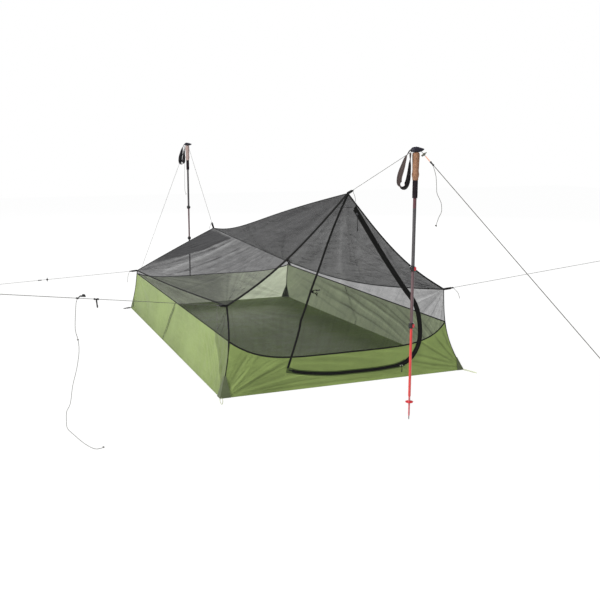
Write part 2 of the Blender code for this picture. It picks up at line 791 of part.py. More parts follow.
def tie_points():
    """Each tie-out's corner and the direction of the line that pulls on it."""
    front_peak = Vector((0, front_y(0, FRONT_PEAK_HEIGHT), FRONT_PEAK_HEIGHT))
    rear_peak = Vector((0, rear_y(0, REAR_PEAK_HEIGHT), REAR_PEAK_HEIGHT))
    corners = {
        "front_left": (front_corner(LEFT, FRONT_EAVE_HEIGHT), FRONT_LEFT_GUY_END),
        "front_right": (front_corner(RIGHT, FRONT_EAVE_HEIGHT), FRONT_RIGHT_GUY_END),
        "rear_left": (rear_corner(LEFT, REAR_EAVE_HEIGHT), REAR_LEFT_GUY_END),
        "rear_right": (rear_corner(RIGHT, REAR_EAVE_HEIGHT), SLACK_TAB_AIM),
        "front_peak": (front_peak, peak_guy_end(FRONT_POLE_PLACE, 1)),
        "rear_peak": (rear_peak, peak_guy_end(REAR_POLE_PLACE, -1)),
    }
    return {name: (place, (end - place).normalized()) for name, (place, end) in corners.items()}


def peak_guy_end(place, side):
    """Where a peak's line meets the side of its pole's head."""
    height = POLE_HEIGHT - HEAD_HEIGHT * 0.6
    return Vector((place[0], place[1] + side * (HEAD_WIDTH / 2 + GAP), height))


def lock_end(place, along):
    """Middle of a line lock's outer face."""
    return place + along * (TAB_START + TAB_LENGTH - TAB_OVERLAP + LOCK_LENGTH)


def tie_blocks():
    """A webbing tab at each eave corner and peak, with a line lock at its end."""
    shapes = []
    for place, along in tie_points().values():
        turn = along.to_track_quat("X", "Z").to_matrix().to_4x4()
        for start, length, width, thickness in (
                (TAB_START, TAB_LENGTH, TAB_WIDTH, TAB_THICKNESS),
                (TAB_START + TAB_LENGTH - TAB_OVERLAP, LOCK_LENGTH, LOCK_WIDTH, LOCK_THICKNESS)):
            bm = bmesh.new()
            bmesh.ops.create_cube(bm, size=1.0)
            bmesh.ops.scale(bm, vec=(length, width, thickness), verts=bm.verts)
            turn.translation = place + along * (start + length / 2)
            bmesh.ops.transform(bm, matrix=turn, verts=bm.verts)
            shapes.append(bm)
    return shapes


def build_stake_loops():
    line = material("guy_line", LINE, 0.8)
    for corner, depth in ((front_corner, "front"), (rear_corner, "rear")):
        for side, word in ((LEFT, "left"), (RIGHT, "right")):
            low = corner(side, 0.0)
            out = (STAKE_AIMS[depth] * Vector((side, 1, 0))).normalized()
            across = Vector((-out.y, out.x, 0))
            start = low + out * SEAM_RADIUS * (abs(out.x) + abs(out.y)) * STAKE_ROOTS[depth]
            loop = []
            for index in range(17):
                turn = math.tau * index / 16
                reach = STAKE_LOOP_LENGTH * (1 - math.cos(turn)) / 2
                aside = STAKE_LOOP_WIDTH / 2 * math.sin(turn)
                aside += STAKE_CORD_RADIUS * 1.15 * math.cos(turn / 2)
                loop.append(start + out * reach + across * aside)
            for point in loop:
                point.z = STAKE_CORD_RADIUS + GAP
            tube(depth + "_" + word + "_stake_loop", loop, STAKE_CORD_RADIUS, line)


def end_loop(end, along, length):
    """A knotted eye at a line's far end: out, round and back to the line."""
    side = along.cross(Vector((0, 0, 1))).normalized()
    points = []
    for index in range(1, 12):
        turn = math.tau * index / 12
        reach = length * (1 - math.cos(turn)) / 2
        points.append(end + along * reach + side * (length * 0.28 * math.sin(turn)))
    return points


def build_guys():
    """Each line runs from its far end to its tie-out's lock, turns there and hangs down loose."""
    line = material("guy_line", LINE, 0.8)
    ties = tie_points()
    for name, end in (("front_left", FRONT_LEFT_GUY_END), ("front_right", FRONT_RIGHT_GUY_END),
                      ("rear_left", REAR_LEFT_GUY_END)):
        place, along = ties[name]
        turn = lock_end(place, along) + along * (GUY_RADIUS + GAP * 1.5)
        route = end_loop(end, along, 0.040)[::-1]
        if name == "front_left":
            route = front_left_tail(lock_end(place, along), along) + returning(end, along, 0.050) + route
        route += [end, end.lerp(turn, 0.5), end.lerp(turn, 0.995)] + tail_from(turn, name)
        tube(name + "_guy", route, GUY_RADIUS, line)
    for name, post, side in (("front_peak", FRONT_POLE_PLACE, 1), ("rear_peak", REAR_POLE_PLACE, -1)):
        place, along = ties[name]
        end = peak_guy_end(post, side)
        turn = lock_end(place, along) + along * (GUY_RADIUS + GAP * 1.5)
        route = [end - along * GUY_RADIUS, end.lerp(turn, 0.5), end.lerp(turn, 0.995)]
        tube(name + "_guy", route + tail_from(turn, name), GUY_RADIUS, line)
    build_pole_guys(line)


def returning(end, along, back):
    """Two points of a line's second strand, which lies beside the first, near the line's far end."""
    aside = along.cross(Vector((0, 0, 1))).normalized() * -GUY_SPACING
    return [end - along * back + aside, end - along * 0.002 + aside]


def front_left_tail(lock, along):
    """Long loose end, from where it lies on the ground up to the line that it hangs from."""
    aside = along.cross(Vector((0, 0, 1))).normalized() * -GUY_SPACING
    root = lock + along * FRONT_LEFT_TAIL_REACH + aside
    low = GUY_RADIUS + GAP
    lying = [(0.0345, -0.3149, 0), (0.0228, -0.3223, 0), (-0.0033, -0.3177, 0), (-0.0318, -0.2375, 0),
             (-0.0567, -0.1098, 0), (-0.0700, -0.0340, 0.002)]
    hanging = [(-0.0707, -0.0160, 0.028), (-0.0673, -0.0140, 0.073), (-0.0500, -0.0120, 0.106),
               (-0.0362, -0.0100, 0.184), (-0.0165, -0.0085, 0.253), (-0.0022, -0.0070, 0.331),
               (-0.0040, -0.0055, 0.384), (-0.0133, -0.0045, 0.430), (-0.0085, -0.0030, 0.504)]
    steps = [root + Vector((x, y, low + z - root.z)) for x, y, z in lying + hanging]
    bend = [root + Vector((-0.004, -0.001, -0.020)), root - along * 0.0015 + Vector((0, 0, -0.005)), root]
    route = smooth_route(steps + bend, 3)[:-1] + [root + along * 0.006]
    for point in route:
        point.z = max(point.z, low)
    return route


def tail_from(turn, name):
    """Loose end that hangs from a tie-out's lock, by hand-chosen steps."""
    hangs = {
        "front_left": [(-0.003, -0.004, -0.012), (-0.006, -0.008, -0.060), (-0.004, -0.008, -0.120)],
        "front_right": [(0.004, -0.003, -0.010), (0.022, -0.008, -0.030), (0.034, -0.010, -0.062)],
        "rear_left": [(-0.003, 0.001, -0.010), (-0.012, 0.002, -0.040), (-0.016, 0.000, -0.080)],
        "front_peak": [(0.003, -0.003, -0.010), (0.010, -0.006, -0.030), (0.014, -0.010, -0.055)],
        "rear_peak": [(-0.002, 0.006, -0.006), (-0.010, 0.010, -0.024), (-0.018, 0.010, -0.048)],
    }
    return smooth_route([turn] + [turn + Vector(step) for step in hangs[name]], 3)


def build_pole_guys(line):
    """The front pole's line with its slack, and the rear pole's line down to the ground."""
    along = (POLE_GUY_END - POLE_GUY_START).normalized()
    aside = along.cross(Vector((0, 0, 1))).normalized() * -GUY_SPACING
    root = POLE_GUY_START + along * POLE_TAIL_REACH + aside
    slack = [(0.0160, -0.0040, -0.2508), (0.0276, -0.0040, -0.2180), (0.0392, -0.0040, -0.1972),
             (0.0414, -0.0040, -0.1791), (0.0375, -0.0040, -0.1549), (0.0279, -0.0040, -0.1365),
             (0.0152, -0.0040, -0.1123), (0.0128, -0.0040, -0.0879), (0.0088, -0.0040, -0.0462),
             (0.0005, -0.0040, -0.0195), (-0.0010, 0.0020, -0.0050)]
    route = smooth_route([root + Vector(step) for step in slack] + [root], 3)[:-1]
    route += [root + along * 0.006] + returning(POLE_GUY_END, along, 0.050)
    route += end_loop(POLE_GUY_END, along, 0.040)[::-1]
    route += [POLE_GUY_END, POLE_GUY_START.lerp(POLE_GUY_END, 0.5), POLE_GUY_START]
    tube("front_pole_guy", route, GUY_RADIUS, line)
    side = REAR_POLE_PLACE[1] + HEAD_WIDTH / 2 + GAP + GUY_RADIUS
    head = Vector((REAR_POLE_PLACE[0] - 0.004, side, POLE_HEIGHT - HEAD_HEIGHT * 0.7))
    drop = [(-0.008, 0.013, -0.398), (-0.016, 0.017, -0.358), (-0.014, 0.017, -0.208), (-0.010, 0.013, -0.068)]
    slack = [head + Vector(step) for step in drop]
    route = smooth_route(slack + [head], 3)
    route += [head.lerp(REAR_POLE_GUY_END, 0.01), head.lerp(REAR_POLE_GUY_END, 0.5), REAR_POLE_GUY_END]
    tube("rear_pole_guy", route, GUY_RADIUS, line)


def build_tensioners():
    plastic = material("black_plastic", WEBBING, 0.35)
    ties = tie_points()
    for name, reach in (("front_left", FRONT_LEFT_TENSIONER_REACH), ("rear_left", REAR_LEFT_TENSIONER_REACH)):
        place, along = ties[name]
        tensioner(name + "_tensioner", lock_end(place, along) + along * reach, along, plastic)
    along = (POLE_GUY_END - POLE_GUY_START).normalized()
    middle = along.cross(Vector((0, 0, 1))).normalized() * -GUY_SPACING / 2
    place = POLE_GUY_START + along * POLE_TENSIONER_REACH + middle
    tensioner("front_pole_tensioner", place, along, plastic, TENSIONER_WIDE_BORE)


def tensioner(name, place, along, finish, bore=TENSIONER_BORE * 1.1):
    """Short sleeve that grips its line and slides along it."""
    half = TENSIONER_LENGTH / 2
    waist = TENSIONER_RADIUS * 0.75
    outer = [(TENSIONER_RADIUS, -half), (waist, -half * 0.4), (waist, half * 0.4), (TENSIONER_RADIUS, half)]
    inner = [(bore, -half), (bore, half)]
    item = turned(name, hollow(outer, inner), finish, 10)
    item.location = place
    item.rotation_euler = along.to_track_quat("Z", "Y").to_euler()


# Zip sliders, pulls and toggle

def front_normal():
    """Outward direction of the door's plane."""
    lean = FRONT_PEAK_SETBACK / FRONT_PEAK_HEIGHT
    return Vector((0, -1, -lean)).normalized()


def slider_place(point):
    away = SEAM_RADIUS + SLIDER_CLEARANCE + SLIDER_THICKNESS / 2
    return point + front_normal() * away


def slider_paths():
    """Start and end of the straight stretches that the two sliders run along."""
    low_zip = zip_line(SLIDER_SIDE_SHIFT)
    high_zip = zip_line(-SLIDER_SIDE_SHIFT)
    right = nearest_index(low_zip, lambda p: abs(p.x - BOTTOM_SLIDER_X) + abs(p.z - ZIP_FOOT_HEIGHT))
    left = nearest_index(low_zip, lambda p: abs(p.x - 0.030) + abs(p.z - ZIP_FOOT_HEIGHT))
    low = high_zip[nearest_index(high_zip, lambda p: abs(p.z - 0.653) + abs(p.x - 0.194))]
    share = (DOOR_TOP_HEIGHT - TOP_SLIDER_HEIGHT) / (DOOR_TOP_HEIGHT - low.z)
    return (low_zip[right], low_zip[left]), (high_zip[-1].lerp(low, share), low)


def build_zip_pieces():
    """The lower slider rides the frame's tape and the upper one the door's."""
    metal = material("dark_metal", DARK_METAL, 0.4, 0.8)
    black = material("black_webbing", WEBBING, 0.8)
    plastic = material("black_plastic", WEBBING, 0.35)
    size = (SLIDER_LENGTH, SLIDER_THICKNESS, SLIDER_WIDTH)
    lengths = {"bottom": BOTTOM_PULL_LENGTH, "top": TOP_PULL_LENGTH}
    for word, (start, end) in zip(("bottom", "top"), slider_paths()):
        place = slider_place(start)
        along = end - start
        slider = box(word + "_zip_slider", size, place, metal, bevel=0.0008)
        slider.rotation_euler = (0, -math.atan2(along.z, along.x), 0)
        hang = place + Vector((0, -(SLIDER_THICKNESS / 2 + GAP + PULL_RADIUS * 1.2), 0))
        half = Vector((0.0006, -0.002, -lengths[word] * 0.5))
        pull = [Vector(), half, Vector((0.0012, -0.001, -lengths[word]))]
        item = tube(word + "_zip_pull", pull, PULL_RADIUS, black)
        item.location = hang
    spot = hinge(TOGGLE_HEIGHT) + Vector((TOGGLE_LENGTH / 2 + TOGGLE_RADIUS * 1.7, 0, 0))
    spot += front_normal() * (TOGGLE_RADIUS + SHEET_THICKNESS / 2 + GAP * 1.8)
    half = Vector((TOGGLE_LENGTH / 2, 0, 0))
    toggle = tube("door_toggle", [-half, half], TOGGLE_RADIUS, plastic)
    toggle.location = spot


# Poles

def build_pole(word, place):
    """One three-part walking pole that stands on its tip, its beak towards +X."""
    stand = bpy.data.objects.new(word + "_pole_stand", None)
    bpy.context.scene.collection.objects.link(stand)
    stand.location = (*place, 0)
    pieces = pole_handle(word) + pole_tubes(word) + pole_clamps(word) + [pole_strap(word)]
    for piece in pieces:
        piece.parent = stand


def pole_handle(word):
    finish = material(*POLE_FINISHES[word]["grip"], 0.8)
    rubber = material("black_rubber", WEBBING, 0.7)
    bore = UPPER_TUBE_RADIUS + GAP
    head_low = POLE_HEIGHT - HEAD_HEIGHT
    grip_low = head_low - GAP - GRIP_LENGTH
    foam_low = grip_low - GAP - FOAM_LENGTH
    shape = [(0.72, 0.00), (0.80, 0.09), (0.96, 0.20), (0.80, 0.32), (0.86, 0.55), (1.02, 0.86), (0.90, 1.00)]
    outer = [(GRIP_RADIUS * r, mix(grip_low, head_low - GAP, t)) for r, t in shape]
    grip = turned(word + "_pole_grip", hollow(outer, [(bore, grip_low), (bore, head_low - GAP)]), finish)
    outer = [(FOAM_RADIUS, foam_low), (FOAM_RADIUS, grip_low - GAP)]
    foam = turned(word + "_pole_foam", hollow(outer, [(bore, foam_low), (bore, grip_low - GAP)]), rubber)
    return [pole_head(word, rubber, head_low), grip, foam]


def pole_head(word, finish, low):
    """Rounded head with a beak to the front."""
    bm = bmesh.new()
    outline = [(-0.022, 0.000), (0.014, 0.000), (0.028, 0.003), (0.036, 0.010), (0.034, 0.016),
               (0.018, 0.021), (0.000, HEAD_HEIGHT), (-0.015, 0.021), (-0.024, 0.011)]
    half = HEAD_WIDTH / 2
    sides = []
    for y, shrink in ((-half, 0.80), (-half * 0.6, 1.0), (half * 0.6, 1.0), (half, 0.80)):
        ring = []
        for x, z in outline:
            level = mix(HEAD_HEIGHT * 0.42, z, shrink)
            ring.append(bm.verts.new((x * shrink, y, low + level)))
        sides.append(ring)
    count = len(outline)
    for near, far in zip(sides, sides[1:]):
        for index in range(count):
            after = (index + 1) % count
            bm.faces.new((near[index], near[after], far[after], far[index]))
    bm.faces.new(sides[0])
    bm.faces.new(sides[-1])
    return mesh_object(word + "_pole_head", bm, finish, smooth=True)


def pole_tubes(word):
    dark = material("dark_metal", DARK_METAL, 0.35, 0.6)
    finish = material(*POLE_FINISHES[word]["tube"], 0.35, 0.4)
    rubber = material("black_rubber", WEBBING, 0.7)
    top = POLE_HEIGHT - HEAD_HEIGHT - GAP * 2
    wall = TUBE_WALL
    clamp_foot = UPPER_CLAMP_HEIGHT
    upper = sleeve(word + "_pole_upper_tube", UPPER_TUBE_RADIUS, wall, clamp_foot, top, dark)
    foot = LOWER_CLAMP_HEIGHT
    head = UPPER_CLAMP_HEIGHT + TUBE_OVERLAP
    middle = sleeve(word + "_pole_middle_tube", MIDDLE_TUBE_RADIUS, wall, foot, head, dark)
    radius = LOWER_TUBE_RADIUS
    head = LOWER_CLAMP_HEIGHT + TUBE_OVERLAP
    neck = radius * 0.72
    profile = [(0, 0), (0.0016, 0), (0.0022, 0.014), (neck * 0.8, 0.018), (neck, TIP_JOINT_HEIGHT * 0.9),
               (radius, TIP_JOINT_HEIGHT), (radius, head), (0, head)]
    lower = turned(word + "_pole_lower_tube", profile, finish)
    bore = neck * 1.0 + GAP
    low = BASKET_HEIGHT
    high = low + BASKET_THICKNESS
    outer = [(BASKET_RADIUS * 0.6, low), (BASKET_RADIUS, low + BASKET_THICKNESS * 0.45),
             (BASKET_RADIUS, low + BASKET_THICKNESS * 0.7), (bore + 0.003, high)]
    basket = turned(word + "_pole_basket", hollow(outer, [(bore, low), (bore, high)]), rubber)
    return [upper, middle, lower, basket]


def sleeve(name, radius, wall, low, high, finish):
    inner = radius - wall
    return turned(name, hollow([(radius, low), (radius, high)], [(inner, low), (inner, high)]), finish)


def pole_clamps(word):
    """Each clamp is a collar with two lugs; its lever wraps round it from a pin in the lugs."""
    rubber = material("black_plastic", WEBBING, 0.35)
    finish = material(*POLE_FINISHES[word]["lever"], 0.35)
    made = []
    clamps = (("upper", UPPER_TUBE_RADIUS, UPPER_CLAMP_HEIGHT), ("lower", MIDDLE_TUBE_RADIUS, LOWER_CLAMP_HEIGHT))
    for part, tube_radius, low in clamps:
        bore = tube_radius + GAP
        outer = bore + CLAMP_WALL
        high = low + CLAMP_LENGTH
        collar = turned(word + "_pole_" + part + "_clamp",
                        hollow([(outer, low), (outer, high)], [(bore, low), (bore, high)]), rubber)
        pivot = Vector((-(outer + LEVER_GAP + LEVER_WALL / 2), 0, low + CLAMP_LENGTH / 2))
        add_lugs(collar, pivot, outer, low, high)
        made += [collar, clamp_lever(word + "_pole_" + part + "_lever", pivot, outer, finish)]
    return made


def add_lugs(collar, pivot, outer, low, high):
    """Fuse a lug to the collar above and below the lever's end."""
    for level in (low + LEVER_MARGIN / 2 - GAP, high - LEVER_MARGIN / 2 + GAP):
        bm = bmesh.new()
        bmesh.ops.create_cube(bm, size=1.0)
        reach = abs(pivot.x) + LEVER_WALL / 2 - outer * 0.92
        bmesh.ops.scale(bm, vec=(reach, LEVER_WALL * 1.8, LEVER_MARGIN - GAP * 2), verts=bm.verts)
        shift = Vector((-(outer * 0.92 + reach / 2), 0, level))
        bmesh.ops.translate(bm, vec=shift, verts=bm.verts)
        data = bpy.data.meshes.new(collar.name + "_lug_shape")
        bmesh.ops.recalc_face_normals(bm, faces=bm.faces)
        bm.to_mesh(data)
        bm.free()
        lug = bpy.data.objects.new(collar.name + "_lug_" + str(round(level * 1000)), data)
        lug.hide_render = True
        lug.display_type = "WIRE"
        bpy.context.scene.collection.objects.link(lug)
        lug.parent = collar
        join = collar.modifiers.new("lug", "BOOLEAN")
        join.operation = "UNION"
        join.object = lug


def clamp_lever(name, pivot, outer, finish):
    """Curved lever, from its pin at the back round the collar to its free tip at the right."""
    inner = outer + LEVER_GAP
    rim = inner + LEVER_WALL
    half = CLAMP_LENGTH / 2 - LEVER_MARGIN
    bm = bmesh.new()
    rings = []
    steps = 9
    for index in range(steps + 1):
        turn = math.radians(mix(182, 352, index / steps))
        thin = 1.0 if index < steps else 0.5
        ring = []
        for radius, z in ((inner, -half), (mix(inner, rim, thin), -half), (mix(inner, rim, thin), half), (inner, half)):
            place = Vector((radius * math.cos(turn), radius * math.sin(turn), z))
            ring.append(bm.verts.new(place - Vector((pivot.x, pivot.y, 0))))
        rings.append(ring)
    for near, far in zip(rings, rings[1:]):
        for index in range(4):
            after = (index + 1) % 4
            bm.faces.new((near[index], near[after], far[after], far[index]))
    bm.faces.new(rings[0])
    bm.faces.new(rings[-1])
    lever = mesh_object(name, bm, finish, smooth=True)
    lever.location = pivot
    return lever


def pole_strap(word):
    """Wrist strap, a loop of webbing that hangs from the back of the head."""
    black = material("black_webbing", WEBBING, 0.8)
    pin = Vector((-0.024 - STRAP_THICKNESS * 0.53, 0, POLE_HEIGHT - HEAD_HEIGHT * 0.55))
    outline = [(0.000, 0.000), (-0.010, -0.004), (-0.022, -0.030), (-0.036, -0.075), (-0.046, -0.115),
               (-0.044, -0.138), (-0.032, -0.150), (-0.018, -0.146), (-0.010, -0.126), (-0.006, -0.090),
               (-0.005, -0.045), (-0.002, -0.012)]
    route = [Vector((x, 0, z)) for x, z in outline]
    bm = bmesh.new()
    edges = []
    for point in route:
        near = bm.verts.new(point + Vector((0, -STRAP_WIDTH / 2, 0)))
        far = bm.verts.new(point + Vector((0, STRAP_WIDTH / 2, 0)))
        edges.append((near, far))
    for before, after in zip(edges, edges[1:]):
        bm.faces.new((before[0], after[0], after[1], before[1]))
    strap = mesh_object(word + "_pole_strap", bm, black, smooth=True)
    thicken(strap, STRAP_THICKNESS)
    strap.location = pin
    return strap


clear_scene()
build_shelter()
build_stake_loops()
build_guys()
build_tensioners()
build_zip_pieces()
build_pole("front", FRONT_POLE_PLACE)
build_pole("rear", REAR_POLE_PLACE)
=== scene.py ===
"""Looks of the mesh bug shelter: cloth, netting, tapes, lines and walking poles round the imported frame."""
import math

import bmesh
import bpy
import numpy as np
from mathutils import Matrix, Vector


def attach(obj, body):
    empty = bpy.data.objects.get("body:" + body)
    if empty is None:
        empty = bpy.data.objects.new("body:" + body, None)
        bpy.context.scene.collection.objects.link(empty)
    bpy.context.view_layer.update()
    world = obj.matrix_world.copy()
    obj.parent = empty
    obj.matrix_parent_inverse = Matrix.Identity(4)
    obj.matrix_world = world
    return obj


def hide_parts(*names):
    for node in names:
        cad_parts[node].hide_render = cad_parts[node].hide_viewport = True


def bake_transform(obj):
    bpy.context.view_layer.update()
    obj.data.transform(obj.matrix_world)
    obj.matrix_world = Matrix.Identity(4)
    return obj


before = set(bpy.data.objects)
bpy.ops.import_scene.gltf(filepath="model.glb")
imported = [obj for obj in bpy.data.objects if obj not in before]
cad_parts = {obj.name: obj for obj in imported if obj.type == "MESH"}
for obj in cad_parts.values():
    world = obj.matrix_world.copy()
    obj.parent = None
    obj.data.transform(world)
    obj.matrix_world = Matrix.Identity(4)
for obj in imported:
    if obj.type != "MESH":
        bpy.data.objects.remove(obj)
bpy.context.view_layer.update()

# How many times finer than the solids the cloth's edges are stepped
FINE = 4

# Clearances and cloth
GAP = 0.0003
SHEET_THICKNESS = 0.0010
SEAM_RADIUS = 0.0020
PANEL_INSET = SEAM_RADIUS + GAP
WELD_DISTANCE = 1e-6
ZIP_HALF_GAP = SEAM_RADIUS + GAP / 2

# Floor
FLOOR_LENGTH = 2.40
FLOOR_FRONT_WIDTH = 1.38
FLOOR_REAR_WIDTH = 1.25

# Eaves and peaks, the peaks on the centre line
FRONT_EAVE_WIDTH = 1.24
FRONT_EAVE_HEIGHT = 0.432
FRONT_EAVE_SETBACK = 0.109
REAR_EAVE_WIDTH = 1.186
REAR_EAVE_HEIGHT = 0.293
REAR_EAVE_SETBACK = 0.106
FRONT_PEAK_HEIGHT = 0.969
FRONT_PEAK_SETBACK = 0.045
REAR_PEAK_HEIGHT = 0.577
REAR_PEAK_SETBACK = 0.073

# Catenary cuts: the right side hangs slacker, as no line draws its rear corner out
EAVE_SAG = {-1: 0.010, 1: 0.055}
FRONT_HIP_SAG = {-1: 0.027, 1: 0.070}
CORNER_BOW = {-1: 0.024, 1: 0.045}
REAR_CORNER_BOW = 0.008
RIDGE_SAG = 0.035
ROOF_SAG = 0.020

# Solid lower walls
FRONT_WALL_CORNER_HEIGHT = 0.262
FRONT_WALL_HEIGHT = 0.164
REAR_WALL_CORNER_HEIGHT = 0.270
REAR_WALL_HEIGHT = 0.222
WALL_TOP_POWER = 5

# Door: the seam it turns on leans from the left wall's foot towards the front peak
HINGE_FOOT_X = -0.341
HINGE_FOOT_HEIGHT = 0.107
HINGE_TOP_X = -0.026
DOOR_TOP_HEIGHT = 0.900
ZIP_FOOT_HEIGHT = 0.059
ZIP_ROUTE = [
    (HINGE_FOOT_X, HINGE_FOOT_HEIGHT),
    (-0.273, 0.086),
    (-0.120, 0.064),
    (0.030, ZIP_FOOT_HEIGHT),
    (0.200, 0.060),
    (0.330, 0.078),
    (0.402, 0.145),
    (0.424, 0.240),
    (0.400, 0.370),
    (0.313, 0.487),
    (0.194, 0.653),
    (0.033, DOOR_TOP_HEIGHT),
]
# How far beside the door's seam and the zip the points along the wall's foot fan out
HINGE_FAN = (0.075, 0.035)
ZIP_FAN = 0.030

# Zip: its lower turn, its tapes and its coil
ZIP_LOW_TURN = (0.370, 0.105)
ZIP_TAPE_THICKNESS = 0.0014
ZIP_EDGE_WIDTH = 0.0058
ZIP_EDGE_THICKNESS = 0.0012
ZIP_LIFT = 0.0022
COIL_PITCH = 0.0011
COIL_RADIUS = 0.00150
COIL_WAVE = 0.00028

# Zip sliders with their pulls, and the door's toggle
BOTTOM_SLIDER_END_X = 0.030
TOP_SLIDER_END = (0.194, 0.653)
SLIDER_LENGTH = 0.014
SLIDER_WIDTH = 0.009
SLIDER_THICKNESS = 0.004
SLIDER_CLEARANCE = 0.0006
BOTTOM_SLIDER_X = 0.302
TOP_SLIDER_HEIGHT = 0.868
BOTTOM_PULL_LENGTH = 0.036
TOP_PULL_LENGTH = 0.085
PULL_RADIUS = 0.0012
TOGGLE_HEIGHT = 0.494
TOGGLE_LENGTH = 0.022
TOGGLE_RADIUS = 0.0030
SLIDER_SIDE_SHIFT = 0.0062

# Bindings: width and thickness of the tape over each seam
BINDINGS = {
    "ridge": (0.0080, 0.0034), "rear_hip": (0.0080, 0.0034), "rear_corner": (0.0080, 0.0036),
    "eave": (0.0078, 0.0034), "front_hip": (0.0108, 0.0040), "door_seam": (0.0112, 0.0040),
    "door_head": (0.0022, 0.0022), "door_top": (0.0074, 0.0034), "rear_top": (0.0062, 0.0030),
    "front_top_left": (0.0078, 0.0034), "front_top_right": (0.0070, 0.0034),
    "side_top_left": (0.0050, 0.0030), "side_top_right": (0.0068, 0.0030),
}

# Tie-outs, corner patches and stake loops; a tab's two layers lie above and below its middle by the rise
TAB_RISE = 0.0034
TAB_WEBBING = 0.0056
TAB_LENGTH = 0.040
TAB_WIDTH = 0.012
TAB_START = 0.0005
TAB_OVERLAP = 0.0060
LOCK_LENGTH = 0.020
LOCK_WIDTH = 0.014
CORNER_PATCH_HEIGHT = 0.110
CORNER_PATCH_REACH = 0.055
CORNER_PATCH_PROUD = {"front": 0.0044, "rear": -0.0022}
STAKE_LOOP_LENGTH = 0.095
STAKE_LOOP_WIDTH = 0.022
STAKE_CORD_RADIUS = 0.0015
STAKE_AIMS = {"front": Vector((0.27, -0.96, 0)), "rear": Vector((0.95, -0.30, 0))}
STAKE_ROOTS = {"front": 0.99, "rear": 1.68}

# Poles: three tubes that slide in each other, each held by a clamp
POLE_HEIGHT = 1.205
FRONT_POLE_AWAY = 0.617
REAR_POLE_AWAY = 0.600
FRONT_POLE_PLACE = (-0.006, -FLOOR_LENGTH / 2 - FRONT_POLE_AWAY)
REAR_POLE_PLACE = (-0.003, FLOOR_LENGTH / 2 + REAR_POLE_AWAY)
TUBE_CLEARANCE = 0.0003
TUBE_WALL = 0.0005
UPPER_TUBE_RADIUS = 0.0075
MIDDLE_TUBE_RADIUS = UPPER_TUBE_RADIUS - TUBE_WALL - TUBE_CLEARANCE
LOWER_TUBE_RADIUS = MIDDLE_TUBE_RADIUS - TUBE_WALL - TUBE_CLEARANCE
HEAD_HEIGHT = 0.024
HEAD_WIDTH = 0.026
GRIP_LENGTH = 0.117
FOAM_LENGTH = 0.073
GRIP_RADIUS = 0.0150
FOAM_RADIUS = 0.0113
UPPER_CLAMP_HEIGHT = 0.672
LOWER_CLAMP_HEIGHT = 0.419
CLAMP_LENGTH = 0.023
CLAMP_WALL = 0.0028
LEVER_GAP = 0.0005
LEVER_WALL = 0.0026
LEVER_MARGIN = 0.0040
TUBE_OVERLAP = 0.120
BASKET_HEIGHT = 0.078
BASKET_THICKNESS = 0.009
BASKET_RADIUS = 0.0180
TIP_JOINT_HEIGHT = 0.110
STRAP_WIDTH = 0.030
STRAP_THICKNESS = 0.0016

# Guy lines: their far ends lie beyond the floor's ends and the poles
GUY_RADIUS = 0.0011
GUY_SPACING = GUY_RADIUS * 2 + GAP
GUY_CLEARANCE = GUY_RADIUS + GAP * 1.5
EYE_LENGTH = 0.040
RETURN_LENGTH = 0.050
TAUT_SHARES = (0.25, 0.5, 0.75, 0.995)
BRAID_PERIOD = 0.0042
SMALL_KNOT = 0.007
KNOT_SIZE = 0.008
FRONT_LEFT_GUY_END = Vector((-1.700, -FLOOR_LENGTH / 2 - 0.241, 0.625))
FRONT_RIGHT_GUY_END = Vector((1.420, -FLOOR_LENGTH / 2 - 0.229, 0.595))
REAR_LEFT_GUY_END = Vector((-1.558, FLOOR_LENGTH / 2 + 0.178, 0.205))
POLE_GUY_START = Vector((0.009, FRONT_POLE_PLACE[1] - 0.0146, POLE_HEIGHT - 0.019))
POLE_GUY_END = Vector((0.413, FRONT_POLE_PLACE[1] - 0.735, 0.395))
REAR_POLE_GUY_END = Vector((-0.321, REAR_POLE_PLACE[1] + 0.581, 0.020))
SLACK_TAB_AIM = Vector((1.143, FLOOR_LENGTH / 2 + 0.444, -0.337))
TENSIONER_LENGTH = 0.022
TENSIONER_RADIUS = 0.0045
TENSIONER_BORE = GUY_RADIUS + GAP
TENSIONER_WIDE_BORE = GUY_RADIUS + GUY_SPACING / 2 + GAP * 1.5
FRONT_LEFT_TENSIONER_REACH = 0.650
REAR_LEFT_TENSIONER_REACH = 0.640
POLE_TENSIONER_REACH = 0.075
FRONT_LEFT_TAIL_REACH = 0.743
POLE_TAIL_REACH = 0.088

# How the front pole's loose end hangs, in steps from the line
POLE_SLACK = [(0.0160, -0.0040, -0.2508), (0.0276, -0.0040, -0.2180), (0.0392, -0.0040, -0.1972),
              (0.0414, -0.0040, -0.1791), (0.0375, -0.0040, -0.1549), (0.0279, -0.0040, -0.1365),
              (0.0152, -0.0040, -0.1123), (0.0128, -0.0040, -0.0879), (0.0088, -0.0040, -0.0462),
              (0.0005, -0.0040, -0.0195), (-0.0010, 0.0020, -0.0050)]

# The hinge seam is pulled to the left between its ends: height and how far, in metres
SEAM_BOW = np.array(((0.107, 0.0), (0.20, 0.003), (0.27, 0.007), (0.31, 0.011), (0.345, 0.0190),
                     (0.40, 0.0180), (0.46, 0.0190), (0.50, 0.0205), (0.56, 0.0185), (0.62, 0.0175),
                     (0.70, 0.0185), (0.80, 0.0165), (0.88, 0.0100), (0.969, 0.0)))

